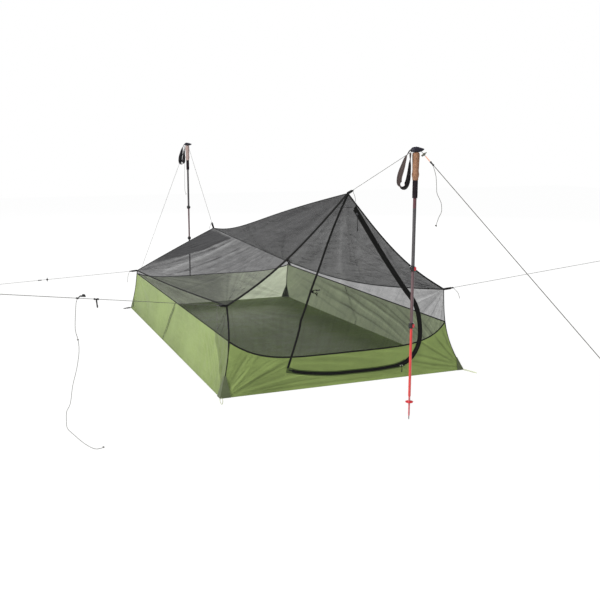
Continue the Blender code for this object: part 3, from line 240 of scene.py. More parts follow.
# Sides, ends and the feet of the walls
LEFT = -1
RIGHT = 1
SIDES = ((LEFT, "left"), (RIGHT, "right"))
FRONT_END = -FLOOR_LENGTH / 2
REAR_END = FLOOR_LENGTH / 2
WALL_FOOT = SHEET_THICKNESS + GAP * 1.5 - PANEL_INSET
WALL_SEAM_START = SEAM_RADIUS + SHEET_THICKNESS + GAP * 4
NETTING_DROP = 0.055
RIGHT_NETTING_TOP = DOOR_TOP_HEIGHT - NETTING_DROP


# The shelter's surfaces and seams

def front_y(x, z):
    """The front wall: nearly flat at the door, drawn back to the eave corners."""
    peak_share = FRONT_PEAK_SETBACK / FRONT_PEAK_HEIGHT
    corner_share = FRONT_EAVE_SETBACK - peak_share * FRONT_EAVE_HEIGHT
    side = (abs(x) / (FRONT_EAVE_WIDTH / 2)) ** 4
    return FRONT_END + peak_share * z + corner_share * side * min(1.0, z / FRONT_EAVE_HEIGHT)


def rear_y(x, z):
    """The rear wall leans in towards the rear peak, more at its eave corners."""
    peak_share = REAR_PEAK_SETBACK / REAR_PEAK_HEIGHT
    corner_share = REAR_EAVE_SETBACK - peak_share * REAR_EAVE_HEIGHT
    side = (abs(x) / (REAR_EAVE_WIDTH / 2)) ** 2
    return REAR_END - peak_share * z - corner_share * side * min(1.0, z / REAR_EAVE_HEIGHT)


def mix(a, b, t):
    return a + (b - a) * t


def front_corner(side, z):
    """Seam between the front wall and a side wall, from the floor to the eave."""
    t = z / FRONT_EAVE_HEIGHT
    x = mix(FLOOR_FRONT_WIDTH / 2, FRONT_EAVE_WIDTH / 2, t)
    x -= CORNER_BOW[side] * math.sin(math.pi * min(1.0, max(0.0, t)))
    return Vector((side * x, front_y(x, z), z))


def rear_corner(side, z):
    t = z / REAR_EAVE_HEIGHT
    x = mix(FLOOR_REAR_WIDTH / 2, REAR_EAVE_WIDTH / 2, t)
    x -= REAR_CORNER_BOW * math.sin(math.pi * min(1.0, max(0.0, t)))
    return Vector((side * x, rear_y(x, z), z))


def eave(side, t):
    """Roof edge from the front eave corner to the rear one."""
    point = front_corner(side, FRONT_EAVE_HEIGHT).lerp(rear_corner(side, REAR_EAVE_HEIGHT), t)
    point.z -= EAVE_SAG[side] * math.sin(math.pi * t)
    return point


def ridge(t):
    """Ridge from the front peak to the rear one: it hangs lowest near the rear."""
    front = Vector((0, front_y(0, FRONT_PEAK_HEIGHT), FRONT_PEAK_HEIGHT))
    rear = Vector((0, rear_y(0, REAR_PEAK_HEIGHT), REAR_PEAK_HEIGHT))
    point = front.lerp(rear, t)
    point.z -= RIDGE_SAG * math.sin(math.pi * t ** 2.4)
    return point


def front_hip(side, t):
    """Seam from the front peak down to a front eave corner."""
    x = mix(0, FRONT_EAVE_WIDTH / 2, t)
    z = mix(FRONT_PEAK_HEIGHT, FRONT_EAVE_HEIGHT, t)
    z -= FRONT_HIP_SAG[side] * math.sin(math.pi * t)
    return Vector((side * x, front_y(x, z), z))


def rear_hip(side, t):
    x = mix(0, REAR_EAVE_WIDTH / 2, t)
    z = mix(REAR_PEAK_HEIGHT, REAR_EAVE_HEIGHT, t)
    return Vector((side * x, rear_y(x, z), z))


def hip_share(side, z):
    """How far down the front hip it passes the height z."""
    low, high = 0.0, 1.0
    for _ in range(40):
        middle = (low + high) / 2
        if front_hip(side, middle).z > z:
            low = middle
        else:
            high = middle
    return low


def front_top(x):
    """Top edge of the front wall's solid part: flat in the middle, rising to the corners."""
    side = LEFT if x < 0 else RIGHT
    corner = abs(front_corner(side, FRONT_WALL_CORNER_HEIGHT).x)
    rise = FRONT_WALL_CORNER_HEIGHT - FRONT_WALL_HEIGHT
    z = FRONT_WALL_HEIGHT + rise * (abs(x) / corner) ** WALL_TOP_POWER
    return Vector((x, front_y(x, z), z))


def rear_top(x):
    corner = abs(rear_corner(RIGHT, REAR_WALL_CORNER_HEIGHT).x)
    rise = REAR_WALL_CORNER_HEIGHT - REAR_WALL_HEIGHT
    z = REAR_WALL_HEIGHT + rise * (abs(x) / corner) ** WALL_TOP_POWER
    return Vector((x, rear_y(x, z), z))


def straight_hinge(z):
    """The straight seam that the door turns on."""
    t = (z - HINGE_FOOT_HEIGHT) / (DOOR_TOP_HEIGHT - HINGE_FOOT_HEIGHT)
    foot = Vector((HINGE_FOOT_X, front_y(HINGE_FOOT_X, HINGE_FOOT_HEIGHT), HINGE_FOOT_HEIGHT))
    top = Vector((HINGE_TOP_X, front_y(HINGE_TOP_X, DOOR_TOP_HEIGHT), DOOR_TOP_HEIGHT))
    return foot.lerp(top, t)


def smooth_route(points, steps):
    """Points along a smooth curve that passes through the given ones."""
    ends = [points[0] * 2 - points[1]] + list(points) + [points[-1] * 2 - points[-2]]
    route = []
    for index in range(1, len(ends) - 2):
        before, start, end, after = ends[index - 1:index + 3]
        for step in range(steps):
            t = step / steps
            part = (end - before) * t + (before * 2 - start * 5 + end * 4 - after) * t ** 2
            part += (start * 3 - before - end * 3 + after) * t ** 3
            route.append(start + part * 0.5)
    route.append(points[-1].copy())
    return route


def zip_line(offset):
    """The zip's route in the front wall, shifted outwards from the door by offset."""
    centre = smooth_route([Vector((x, z)) for x, z in ZIP_ROUTE], 2 * FINE)
    shifted = []
    for index, point in enumerate(centre):
        before = centre[max(0, index - 1)]
        after = centre[min(len(centre) - 1, index + 1)]
        along = (after - before).normalized()
        place = point + Vector((along.y, -along.x)) * offset
        shifted.append(Vector((place.x, front_y(place.x, place.y), place.y)))
    return shifted


def nearest_index(points, test):
    return min(range(len(points)), key=lambda index: test(points[index]))


def spread(function, start, end, steps):
    return [function(mix(start, end, index / steps)) for index in range(steps + 1)]


def between(start, end, count):
    """Points along the straight line between two."""
    return spread(lambda t: start.lerp(end, t), 0, 1, count)


# Edges that panels and bindings share, so that both follow the same points

def corner_edges(side):
    """Front and rear corner seams, each as its lower and its upper stretch."""
    heights = (FRONT_WALL_CORNER_HEIGHT, FRONT_EAVE_HEIGHT)
    front_low = spread(lambda z: front_corner(side, z), WALL_FOOT, heights[0], 4 * FINE)
    front_high = spread(lambda z: front_corner(side, z), *heights, 3 * FINE)
    heights = (REAR_WALL_CORNER_HEIGHT, REAR_EAVE_HEIGHT)
    rear_low = spread(lambda z: rear_corner(side, z), WALL_FOOT, heights[0], 4 * FINE)
    rear_high = spread(lambda z: rear_corner(side, z), *heights, 3 * FINE)
    return front_low, front_high, rear_low, rear_high


def eave_edge(side):
    return spread(lambda t: eave(side, t), 0, 1, 10 * FINE)


def front_hip_edge(side, low):
    """Front hip from the height low down to the eave corner, above it straight to the peak."""
    return spread(lambda t: front_hip(side, t), hip_share(side, low), 1, 7 * FINE)


def whole_front_hip(side, low):
    top = [front_hip(side, 0)]
    if low < DOOR_TOP_HEIGHT:
        top.append(front_hip(side, hip_share(side, DOOR_TOP_HEIGHT)))
    return top + front_hip_edge(side, low)


def rear_hip_edge(side):
    return spread(lambda t: rear_hip(side, t), 0, 1, 6 * FINE)


def rear_top_edge():
    corner = abs(rear_corner(RIGHT, REAR_WALL_CORNER_HEIGHT).x)
    return spread(rear_top, -corner, corner, 12 * FINE)


def front_edges():
    """The zip's frame side and the two stretches of the front wall's top edge beside the door."""
    frame_zip = zip_line(ZIP_HALF_GAP)
    level = zip_splits(frame_zip)[1]
    crossing = hinge_crossing()
    left = front_corner(LEFT, FRONT_WALL_CORNER_HEIGHT)
    right = front_corner(RIGHT, FRONT_WALL_CORNER_HEIGHT)
    left_top = spread(front_top, left.x, hinge(crossing).x, 6 * FINE)
    left_top[-1] = hinge(crossing)
    right_top = spread(front_top, frame_zip[level].x, right.x, 5 * FINE)
    right_top[0] = frame_zip[level]
    return frame_zip, left_top, right_top


# Cloth panels, seams and cords

def net_of_points(bottom, top, left, right):
    """Grid of points spanned between four edges, corner to corner."""
    columns = len(bottom) - 1
    rows = len(left) - 1
    grid = []
    for row in range(rows + 1):
        v = row / rows
        line = []
        for column in range(columns + 1):
            u = column / columns
            across = bottom[column].lerp(top[column], v)
            along = left[row].lerp(right[row], u)
            low = bottom[0].lerp(bottom[-1], u)
            high = top[0].lerp(top[-1], u)
            line.append(across + along - low.lerp(high, v))
        grid.append(line)
    return grid


def shorten(points, start, end):
    """Cut a length off each end of a route."""
    points = [point.copy() for point in points]
    for cut, order in ((start, 1), (end, -1)):
        points = points[::order]
        left = cut
        while left > 0 and len(points) > 2 and (points[1] - points[0]).length <= left:
            left -= (points[1] - points[0]).length
            points.pop(0)
        points[0] = points[0] + (points[1] - points[0]).normalized() * left
        points = points[::order]
    return points


def matched(points, count):
    """The same route with more points: the extra ones lie on its longest straight stretches."""
    points = list(points)
    while len(points) < count:
        lengths = [(after - before).length for before, after in zip(points, points[1:])]
        longest = lengths.index(max(lengths))
        points.insert(longest + 1, points[longest].lerp(points[longest + 1], 0.5))
    return points


def zip_splits(route):
    """Indices where the zip passes its lower right turn and the wall's top edge."""
    turn = nearest_index(route, lambda p: abs(p.x - ZIP_LOW_TURN[0]) + abs(p.z - ZIP_LOW_TURN[1]))
    right_side = range(turn, len(route))
    level = min(right_side, key=lambda index: abs(route[index].z - front_top(route[index].x).z))
    return turn, level


def hinge_crossing():
    """Height at which the hinge seam meets the wall's top edge."""
    height = FRONT_WALL_HEIGHT
    for _ in range(20):
        height = front_top(hinge(height).x).z
    return height


def feet_below(left_top, hinge_down, zip_part, right_top):
    """Points along the wall's foot, one for each point of its top edge, fanned out at the door."""
    left = front_corner(LEFT, WALL_FOOT)
    right = front_corner(RIGHT, WALL_FOOT)
    marks = (left.x, *(HINGE_FOOT_X - step for step in HINGE_FAN), right_top[0].x + ZIP_FAN, right.x)
    counts = (len(left_top) - 1, len(hinge_down) + 1, len(zip_part), len(right_top) - 1)
    places = [left.x]
    for start, end, count in zip(marks, marks[1:], counts):
        places += [mix(start, end, (index + 1) / count) for index in range(count)]
    return [left.lerp(right, (x - left.x) / (right.x - left.x)) for x in places]


def tie_points():
    """Each tie-out's corner and the direction of the line that pulls on it."""
    front_peak = Vector((0, front_y(0, FRONT_PEAK_HEIGHT), FRONT_PEAK_HEIGHT))
    rear_peak = Vector((0, rear_y(0, REAR_PEAK_HEIGHT), REAR_PEAK_HEIGHT))
    corners = {
        "front_left": (front_corner(LEFT, FRONT_EAVE_HEIGHT), FRONT_LEFT_GUY_END),
        "front_right": (front_corner(RIGHT, FRONT_EAVE_HEIGHT), FRONT_RIGHT_GUY_END),
        "rear_left": (rear_corner(LEFT, REAR_EAVE_HEIGHT), REAR_LEFT_GUY_END),
        "rear_right": (rear_corner(RIGHT, REAR_EAVE_HEIGHT), SLACK_TAB_AIM),
        "front_peak": (front_peak, peak_guy_end(FRONT_POLE_PLACE, 1)),
        "rear_peak": (rear_peak, peak_guy_end(REAR_POLE_PLACE, -1)),
    }
    return {name: (place, (end - place).normalized()) for name, (place, end) in corners.items()}


def peak_guy_end(place, side):
    """Where a peak's line meets the side of its pole's head."""
    height = POLE_HEIGHT - HEAD_HEIGHT * 0.6
    return Vector((place[0], place[1] + side * (HEAD_WIDTH / 2 + GAP), height))


def lock_end(place, along):
    """Middle of a line lock's outer face."""
    return place + along * (TAB_START + TAB_LENGTH - TAB_OVERLAP + LOCK_LENGTH)


def end_loop(end, along, length):
    """A knotted eye at a line's far end: out, round and back to the line."""
    side = along.cross(Vector((0, 0, 1))).normalized()
    points = []
    for index in range(1, 12):
        turn = math.tau * index / 12
        reach = length * (1 - math.cos(turn)) / 2
        points.append(end + along * reach + side * (length * 0.28 * math.sin(turn)))
    return points


def beside(along):
    """How far a line's second strand lies beside the first."""
    return along.cross(Vector((0, 0, 1))).normalized() * -GUY_SPACING


def returning(end, along, back):
    """Two points of a line's second strand, which lies beside the first, near the line's far end."""
    aside = beside(along)
    return [end - along * back + aside, end - along * 0.002 + aside]


def front_left_tail(lock, along):
    """Long loose end, from where it lies on the ground up to the line that it hangs from."""
    aside = beside(along)
    root = lock + along * FRONT_LEFT_TAIL_REACH + aside
    low = GUY_RADIUS + GAP
    lying = [(0.0345, -0.3149, 0), (0.0228, -0.3223, 0), (-0.0033, -0.3177, 0), (-0.0318, -0.2375, 0),
             (-0.0567, -0.1098, 0), (-0.0700, -0.0340, 0.002)]
    hanging = [(-0.0707, -0.0160, 0.028), (-0.0673, -0.0140, 0.073), (-0.0500, -0.0120, 0.106),
               (-0.0362, -0.0100, 0.184), (-0.0165, -0.0085, 0.253), (-0.0022, -0.0070, 0.331),
               (-0.0040, -0.0055, 0.384), (-0.0133, -0.0045, 0.430), (-0.0085, -0.0030, 0.504)]
    steps = [root + Vector((x, y, low + z - root.z)) for x, y, z in lying + hanging]
    bend = [root + Vector((-0.004, -0.001, -0.020)), root - along * 0.0015 + Vector((0, 0, -0.005)), root]
    route = smooth_route(steps + bend, 3)[:-1] + [root + along * 0.006]
    for point in route:
        point.z = max(point.z, low)
    return route


def tail_from(turn, name):
    """Loose end that hangs from a tie-out's lock, by listed steps."""
    hangs = {
        "front_left": [(-0.003, -0.004, -0.012), (-0.006, -0.008, -0.060), (-0.004, -0.008, -0.120)],
        "front_right": [(0.004, -0.003, -0.010), (0.022, -0.008, -0.030), (0.034, -0.010, -0.062)],
        "rear_left": [(-0.003, 0.001, -0.010), (-0.012, 0.002, -0.040), (-0.016, 0.000, -0.080)],
        "front_peak": [(0.003, -0.003, -0.010), (0.010, -0.006, -0.030), (0.014, -0.010, -0.055)],
        "rear_peak": [(-0.002, 0.006, -0.006), (-0.010, 0.010, -0.024), (-0.018, 0.010, -0.048)],
    }
    return smooth_route([turn] + [turn + Vector(step) for step in hangs[name]], 3)


def front_normal():
    """Outward direction of the door's plane."""
    lean = FRONT_PEAK_SETBACK / FRONT_PEAK_HEIGHT
    return Vector((0, -1, -lean)).normalized()


def slider_place(point):
    away = SEAM_RADIUS + SLIDER_CLEARANCE + SLIDER_THICKNESS / 2
    return point + front_normal() * away


def slider_paths():
    """Start and end of the straight stretches that the two sliders run along."""
    low_zip = zip_line(SLIDER_SIDE_SHIFT)
    high_zip = zip_line(-SLIDER_SIDE_SHIFT)
    right = nearest_index(low_zip, lambda p: abs(p.x - BOTTOM_SLIDER_X) + abs(p.z - ZIP_FOOT_HEIGHT))
    left = nearest_index(low_zip, lambda p: abs(p.x - BOTTOM_SLIDER_END_X) + abs(p.z - ZIP_FOOT_HEIGHT))
    end_x, end_z = TOP_SLIDER_END
    low = high_zip[nearest_index(high_zip, lambda p: abs(p.z - end_z) + abs(p.x - end_x))]
    share = (DOOR_TOP_HEIGHT - TOP_SLIDER_HEIGHT) / (DOOR_TOP_HEIGHT - low.z)
    return (low_zip[right], low_zip[left]), (high_zip[-1].lerp(low, share), low)


# Camera and light

def build_camera():
    """Viewpoint: out in front of the left corner, at chest height."""
    yaw, pitch, roll = (math.radians(angle) for angle in (-22.903, 10.755, 0.137))
    ahead = Vector((-math.sin(yaw) * math.cos(pitch), math.cos(yaw) * math.cos(pitch), -math.sin(pitch)))
    right = Vector((math.cos(yaw), math.sin(yaw), 0))
    up = right.cross(ahead)
    turned_right = right * math.cos(roll) + up * math.sin(roll)
    turned_up = up * math.cos(roll) - right * math.sin(roll)
    data = bpy.data.cameras.new("camera")
    data.sensor_width = 36.0
    data.lens = 50.796
    data.clip_end = 60
    camera = bpy.data.objects.new("camera", data)
    bpy.context.scene.collection.objects.link(camera)
    turn = Matrix((turned_right, turned_up, -ahead)).transposed().to_4x4()
    turn.translation = (-1.871, -4.974, 1.234)
    camera.matrix_world = turn
    bpy.context.scene.camera = camera


def area_light(name, place, target, size, power, colour=(1, 1, 1)):
    data = bpy.data.lights.new(name, "AREA")
    data.shape = "DISK"
    data.size = size
    data.energy = power
    data.color = colour
    lamp = bpy.data.objects.new(name, data)
    lamp.location = place
    lamp.rotation_euler = (Vector(target) - Vector(place)).to_track_quat("-Z", "Y").to_euler()
    bpy.context.scene.collection.objects.link(lamp)


def build_light():
    world = bpy.data.worlds.new("studio")
    bpy.context.scene.world = world
    world.use_nodes = True
    nodes, links = world.node_tree.nodes, world.node_tree.links
    nodes.clear()
    seen = nodes.new("ShaderNodeBackground")
    seen.inputs["Color"].default_value = (1, 1, 1, 1)
    seen.inputs["Strength"].default_value = 1.0
    light = nodes.new("ShaderNodeBackground")
    light.inputs["Color"].default_value = (0.96, 0.98, 1.0, 1)
    light.inputs["Strength"].default_value = 0.55
    path = nodes.new("ShaderNodeLightPath")
    mixer = nodes.new("ShaderNodeMixShader")
    out = nodes.new("ShaderNodeOutputWorld")
    links.new(path.outputs["Is Camera Ray"], mixer.inputs[0])
    links.new(light.outputs[0], mixer.inputs[1])
    links.new(seen.outputs[0], mixer.inputs[2])
    links.new(mixer.outputs[0], out.inputs[0])
    bpy.context.scene.view_settings.view_transform = "Standard"
    bpy.context.scene.view_settings.look = "None"
    area_light("key", (-6.5, -2.6, 4.6), (0, 0, 0.3), 3.0, 700, (1.0, 0.98, 0.95))
    area_light("front", (-1.5, -7.0, 4.0), (0, -0.5, 0.4), 4.0, 90)
    area_light("rim", (3.4, 6.2, 3.8), (0, 0.5, 0.3), 3.5, 520)


# Node materials

class Graph:
    """Short way to write a node material."""

    def __init__(self, name):
        self.made = bpy.data.materials.new(name)
        self.made.use_nodes = True
        self.tree = self.made.node_tree
        self.tree.nodes.clear()
        self.out = self.node("OutputMaterial")
        self.uv = self.node("TexCoord").outputs["UV"]

    def node(self, kind, inputs=None, **settings):
        made = self.tree.nodes.new("ShaderNode" + kind)
        for key, value in settings.items():
            setattr(made, key, value)
        for key, value in (inputs or {}).items():
            self.put(made.inputs[key], value)
        return made

    def put(self, socket, value):
        if isinstance(value, bpy.types.NodeSocket):
            self.tree.links.new(value, socket)
        elif isinstance(value, tuple) and len(value) == 3 and socket.type == "RGBA":
            socket.default_value = (*value, 1.0)
        else:
            socket.default_value = value

    def calc(self, operation, a, b=0.0, c=0.0):
        node = self.node("Math", operation=operation)
        for socket, value in zip(node.inputs, (a, b, c)):
            self.put(socket, value)
        return node.outputs[0]

    def span(self, value, low, high, to_low=0.0, to_high=1.0):
        node = self.node("MapRange", {"Value": value, "From Min": low, "From Max": high,
                                      "To Min": to_low, "To Max": to_high}, interpolation_type="SMOOTHSTEP")
        return node.outputs["Result"]

    def blend(self, share, a, b, mode="MIX"):
        node = self.node("Mix", data_type="RGBA", blend_type=mode)
        self.put(node.inputs[0], share)
        self.put(node.inputs[6], a)
        self.put(node.inputs[7], b)
        return node.outputs[2]

    def noise(self, scale, detail=3.0, rough=0.55, stretch=None, turn=0.0, coordinates=None):
        place = coordinates or self.uv
        if stretch or turn:
            node = self.node("Mapping", {"Vector": place, "Rotation": (0, 0, turn),
                                         "Scale": stretch or (1, 1, 1)})
            place = node.outputs["Vector"]
        node = self.node("TexNoise", {"Vector": place, "Scale": scale, "Detail": detail, "Roughness": rough})
        return node.outputs["Fac"]

    def split(self, coordinates=None):
        return self.node("SeparateXYZ", {"Vector": coordinates or self.uv}).outputs

    def line(self, value, period, width):
        """1 on thin lines that repeat with the period, 0 between them."""
        away = self.calc("PINGPONG", value, period / 2)
        return self.span(away, width * 0.5, width, 1.0, 0.0)

    def ribs(self, value, period):
        wave = self.calc("SINE", self.calc("MULTIPLY", value, math.tau / period))
        return self.calc("MULTIPLY_ADD", wave, 0.5, 0.5)

    def bump(self, height, distance, strength=1.0, normal=None):
        inputs = {"Height": height, "Distance": distance, "Strength": strength}
        if normal is not None:
            inputs["Normal"] = normal
        return self.node("Bump", inputs).outputs["Normal"]

    def done(self, shader):
        self.tree.links.new(shader.outputs[0], self.out.inputs["Surface"])
        return self.made


def tinted(colour, share):
    return tuple(min(1.0, c * share) for c in colour)


def nylon(name, colour, glow=0.3, wrinkle=0.0016, turn=0.0, lighter=1.0, shine=None, painted_crease_light=0.26):
    """Thin coated ripstop: fine weave, a raised grid, creases with a painted highlight along them, painted
    shade and light from the mesh's shade layer, and light shining through it.
    """
    g = Graph(name)
    u, v = g.split()[:2]
    grid = g.calc("MAXIMUM", g.line(u, 0.0062, 0.0007), g.line(v, 0.0062, 0.0007))
    weave = g.calc("MULTIPLY", g.ribs(u, 0.0011), g.ribs(v, 0.0011))
    broad = g.noise(2.4, 3)
    mottle = g.noise(34, 4, 0.6)
    creases = g.noise(9, 5, 0.62, (1, 3.2, 1), turn)
    dark = tinted(colour, 0.84)
    light = tuple(min(1.0, c * 1.10 * lighter) for c in colour)
    tone = g.blend(g.span(broad, 0.3, 0.7), dark, light)
    tone = g.blend(g.span(mottle, 0.35, 0.75, 0.0, 0.20), tone, dark)
    tone = g.blend(g.calc("MULTIPLY", grid, 0.20), tone, tinted(colour, 0.62))
    # Painted highlight: lighter along the creases
    tone = g.blend(g.span(creases, 0.42, 0.74, 0.0, painted_crease_light), tone, light)
    # Painted shade: the mesh's layer darkens the colour, and where it is negative paints it lighter
    seen = g.calc("SUBTRACT", 1.0, g.node("Attribute", attribute_name="painted_shade_and_density").outputs["Fac"])
    tone = g.node("VectorMath", {0: tone, "Scale": seen}, operation="SCALE").outputs[0]
    height = g.calc("MULTIPLY_ADD", grid, 0.10, g.calc("MULTIPLY", weave, 0.04))
    normal = g.bump(height, 0.0008, 0.5)
    normal = g.bump(creases, wrinkle * 5, 0.55, normal)
    face = g.node("BsdfPrincipled", {"Base Color": tone, "Roughness": g.span(mottle, 0.2, 0.8, 0.48, 0.64),
                                     "Specular IOR Level": 0.25, "Sheen Weight": 0.08, "Normal": normal})
    through = tone
    if shine:
        through = g.blend(g.span(creases, 0.35, 0.75), tinted(shine, 0.88), shine)
        # The same painted shade dims the light shining through
        through = g.node("VectorMath", {0: through, "Scale": seen}, operation="SCALE").outputs[0]
    back = g.node("BsdfTranslucent", {"Color": through, "Normal": normal})
    both = g.node("MixShader", {0: glow, 1: face.outputs[0], 2: back.outputs[0]})
    return g.done(both)


def netting(name, opacity, colour=(0.034, 0.034, 0.0355), turn=0.4, stretch=(1, 7, 1), creased=0.10):
    """Fine no-see-um netting: a woven grid too small to see through one by one, thicker along creases, with a
    painted highlight along them.
    """
    g = Graph(name)
    u, v = g.split()[:2]
    holes = g.calc("MULTIPLY", g.ribs(u, 0.0021), g.ribs(v, 0.0021))
    creases = g.noise(5.0, 5, 0.6, stretch, turn)
    fine = g.noise(60, 3, 0.7, (1, 1.6, 1), turn + 0.9)
    threads = g.noise(26, 4, 0.7, (1, 16, 1), turn)
    amount = g.calc("MULTIPLY_ADD", holes, -0.06, opacity + 0.015)
    amount = g.calc("ADD", amount, g.span(creases, 0.34, 0.70, -creased * 0.5, creased * 0.5))
    amount = g.calc("ADD", amount, g.span(threads, 0.30, 0.72, -creased * 0.12, creased * 0.12))
    amount = g.calc("ADD", amount, g.span(fine, 0.3, 0.7, -0.006, 0.006))
    amount = g.calc("ADD", amount, g.node("Attribute", attribute_name="painted_shade_and_density").outputs["Fac"])
    amount = g.node("Clamp", {"Value": amount}).outputs[0]
    # Painted highlight: the net's colour is lighter along the creases
    tone = g.blend(g.span(creases, 0.3, 0.75), tinted(colour, 0.92), tinted(colour, 1.15))
    normal = g.bump(creases, 0.006, 0.5, g.bump(holes, 0.0004, 0.4))
    face = g.node("BsdfPrincipled", {"Base Color": tone, "Roughness": 0.88, "Specular IOR Level": 0.08,
                                     "Normal": normal, "Alpha": amount})
    return g.done(face)


def webbing(name, colour=(0.006, 0.0062, 0.0058), thread=(0.022, 0.022, 0.02), rib=0.0013):
    """Woven tape: ribs across it, and a row of stitches near each edge."""
    g = Graph(name)
    u, v = g.split()[:2]
    ribs = g.ribs(u, rib)
    rows = g.calc("MAXIMUM", g.span(g.calc("ABSOLUTE", g.calc("SUBTRACT", v, 0.14)), 0.012, 0.03, 1.0, 0.0),
                  g.span(g.calc("ABSOLUTE", g.calc("SUBTRACT", v, 0.36)), 0.012, 0.03, 1.0, 0.0))
    dashes = g.span(g.calc("PINGPONG", u, 0.0018), 0.0004, 0.0008)
    stitches = g.calc("MULTIPLY", rows, dashes)
    dust = g.noise(70, 4, 0.65)
    tone = g.blend(g.span(dust, 0.3, 0.75), tinted(colour, 0.7), tinted(colour, 1.5))
    tone = g.blend(g.calc("MULTIPLY", ribs, 0.35), tone, tinted(colour, 1.9))
    tone = g.blend(stitches, tone, thread)
    height = g.calc("MULTIPLY_ADD", ribs, 0.5, stitches)
    normal = g.bump(height, 0.0005, 0.7)
    face = g.node("BsdfPrincipled", {"Base Color": tone, "Roughness": g.span(dust, 0.2, 0.8, 0.66, 0.84),
                                     "Specular IOR Level": 0.12, "Normal": normal})
    return g.done(face)


def braid(name, colour, fleck):
    """Braided cord: slanting strands, with a fleck thread."""
    g = Graph(name)
    place = g.node("TexCoord").outputs["Object"]
    x, y, z = g.split(place)
    slant = g.calc("ADD", g.calc("ADD", x, g.calc("MULTIPLY", y, 0.83)), g.calc("MULTIPLY", z, 1.21))
    counter = g.calc("SUBTRACT", g.calc("ADD", x, g.calc("MULTIPLY", y, 0.71)), g.calc("MULTIPLY", z, 1.13))
    strands = g.calc("MAXIMUM", g.ribs(slant, BRAID_PERIOD / 3), g.ribs(counter, BRAID_PERIOD / 3))
    flecks = g.line(slant, BRAID_PERIOD * 2, 0.0005)
    wear = g.noise(40, 4, 0.6, coordinates=place)
    tone = g.blend(strands, tinted(colour, 0.55), tinted(colour, 1.15))
    tone = g.blend(g.calc("MULTIPLY", flecks, 0.7), tone, fleck)
    tone = g.blend(g.span(wear, 0.45, 0.8, 0.0, 0.3), tone, tinted(colour, 1.5))
    normal = g.bump(strands, 0.0004, 0.7)
    face = g.node("BsdfPrincipled", {"Base Color": tone, "Roughness": 0.78, "Specular IOR Level": 0.25,
                                     "Normal": normal})
    return g.done(face)


def moulded(name, colour, rough=0.42, grain=260.0, worn=0.25, coat=0.0, metallic=0.0, gloss=0.5):
    """Moulded plastic, rubber or painted metal: fine grain, faint scuffs and lighter worn spots."""
    g = Graph(name)
    place = g.node("TexCoord").outputs["Object"]
    grit = g.noise(grain, 3, 0.6, coordinates=place)
    scuffs = g.noise(28, 6, 0.7, (1, 1, 0.3), coordinates=place)
    tone = g.blend(g.span(grit, 0.3, 0.7), tinted(colour, 0.86), tinted(colour, 1.14))
    lighter = tuple(min(1, c * 1.6 + 0.008) for c in colour)
    tone = g.blend(g.span(scuffs, 0.52, 0.8, 0.0, worn), tone, lighter)
    normal = g.bump(grit, 0.0003, 0.35)
    face = g.node("BsdfPrincipled", {"Base Color": tone, "Metallic": metallic,
                                     "Roughness": g.span(scuffs, 0.3, 0.75, rough - 0.07, rough + 0.14),
                                     "Specular IOR Level": gloss, "Coat Weight": coat, "Coat Roughness": 0.12,
                                     "Normal": normal})
    return g.done(face)


def cork_finish(name):
    """Pressed cork: pale granules in a darker binder, with pits."""
    g = Graph(name)
    place = g.node("TexCoord").outputs["Object"]
    cells = g.node("TexVoronoi", {"Vector": place, "Scale": 380.0, "Randomness": 1.0}).outputs
    grain = g.node("SeparateColor", {"Color": cells["Color"]}).outputs[0]
    pits = g.span(g.noise(210, 5, 0.7, coordinates=place), 0.60, 0.68)
    tone = g.blend(grain, (0.180, 0.088, 0.050), (0.300, 0.165, 0.100))
    tone = g.blend(g.calc("MULTIPLY", pits, 0.75), tone, (0.045, 0.018, 0.010))
    tone = g.blend(g.span(g.noise(30, 3, 0.6, coordinates=place), 0.45, 0.75, 0.0, 0.4), tone,
                   (0.15, 0.072, 0.045))
    height = g.calc("SUBTRACT", grain, g.calc("MULTIPLY", pits, 1.6))
    face = g.node("BsdfPrincipled", {"Base Color": tone, "Roughness": 0.82, "Specular IOR Level": 0.2,
                                     "Normal": g.bump(height, 0.0006, 0.6)})
    return g.done(face)


def floor_cloth(name, colour):
    """Coated floor sheet: heavier weave, creases from packing with a painted highlight along them, dull
    sheen.
    """
    g = Graph(name)
    u, v = g.split()[:2]
    weave = g.calc("MULTIPLY", g.ribs(u, 0.0014), g.ribs(v, 0.0014))
    creases = g.noise(5, 6, 0.65, (1, 2.2, 1), 0.5)
    broad = g.noise(1.6, 3)
    tone = g.blend(g.span(broad, 0.3, 0.7), tinted(colour, 0.82), tinted(colour, 1.15))
    # Painted highlight: lighter along the creases
    tone = g.blend(g.span(creases, 0.45, 0.72, 0.0, 0.3), tone, tinted(colour, 1.35))
    normal = g.bump(creases, 0.012, 0.5, g.bump(weave, 0.0006, 0.4))
    face = g.node("BsdfPrincipled", {"Base Color": tone, "Roughness": g.span(creases, 0.2, 0.8, 0.5, 0.68),
                                     "Specular IOR Level": 0.35, "Normal": normal})
    return g.done(face)


# Colours
GREEN = (0.258, 0.335, 0.118)
# Front wall and door: darker copies of the same green nylon, painted shade
GREEN_FRONT_PAINTED_SHADE = (0.246, 0.328, 0.100)
GREEN_DOOR_PAINTED_SHADE = (0.214, 0.286, 0.086)
# Right and rear walls: a lighter copy of the same green, painted light for light shining through from behind
GREEN_INNER_PAINTED_BACKLIGHT = (0.340, 0.410, 0.225)
SHINE_REAR = (0.86, 0.93, 0.70)
SHINE_RIGHT = (0.56, 0.63, 0.42)
FLOOR_COLOUR = (0.172, 0.240, 0.066)
MESH_COLOUR = (0.034, 0.034, 0.0355)


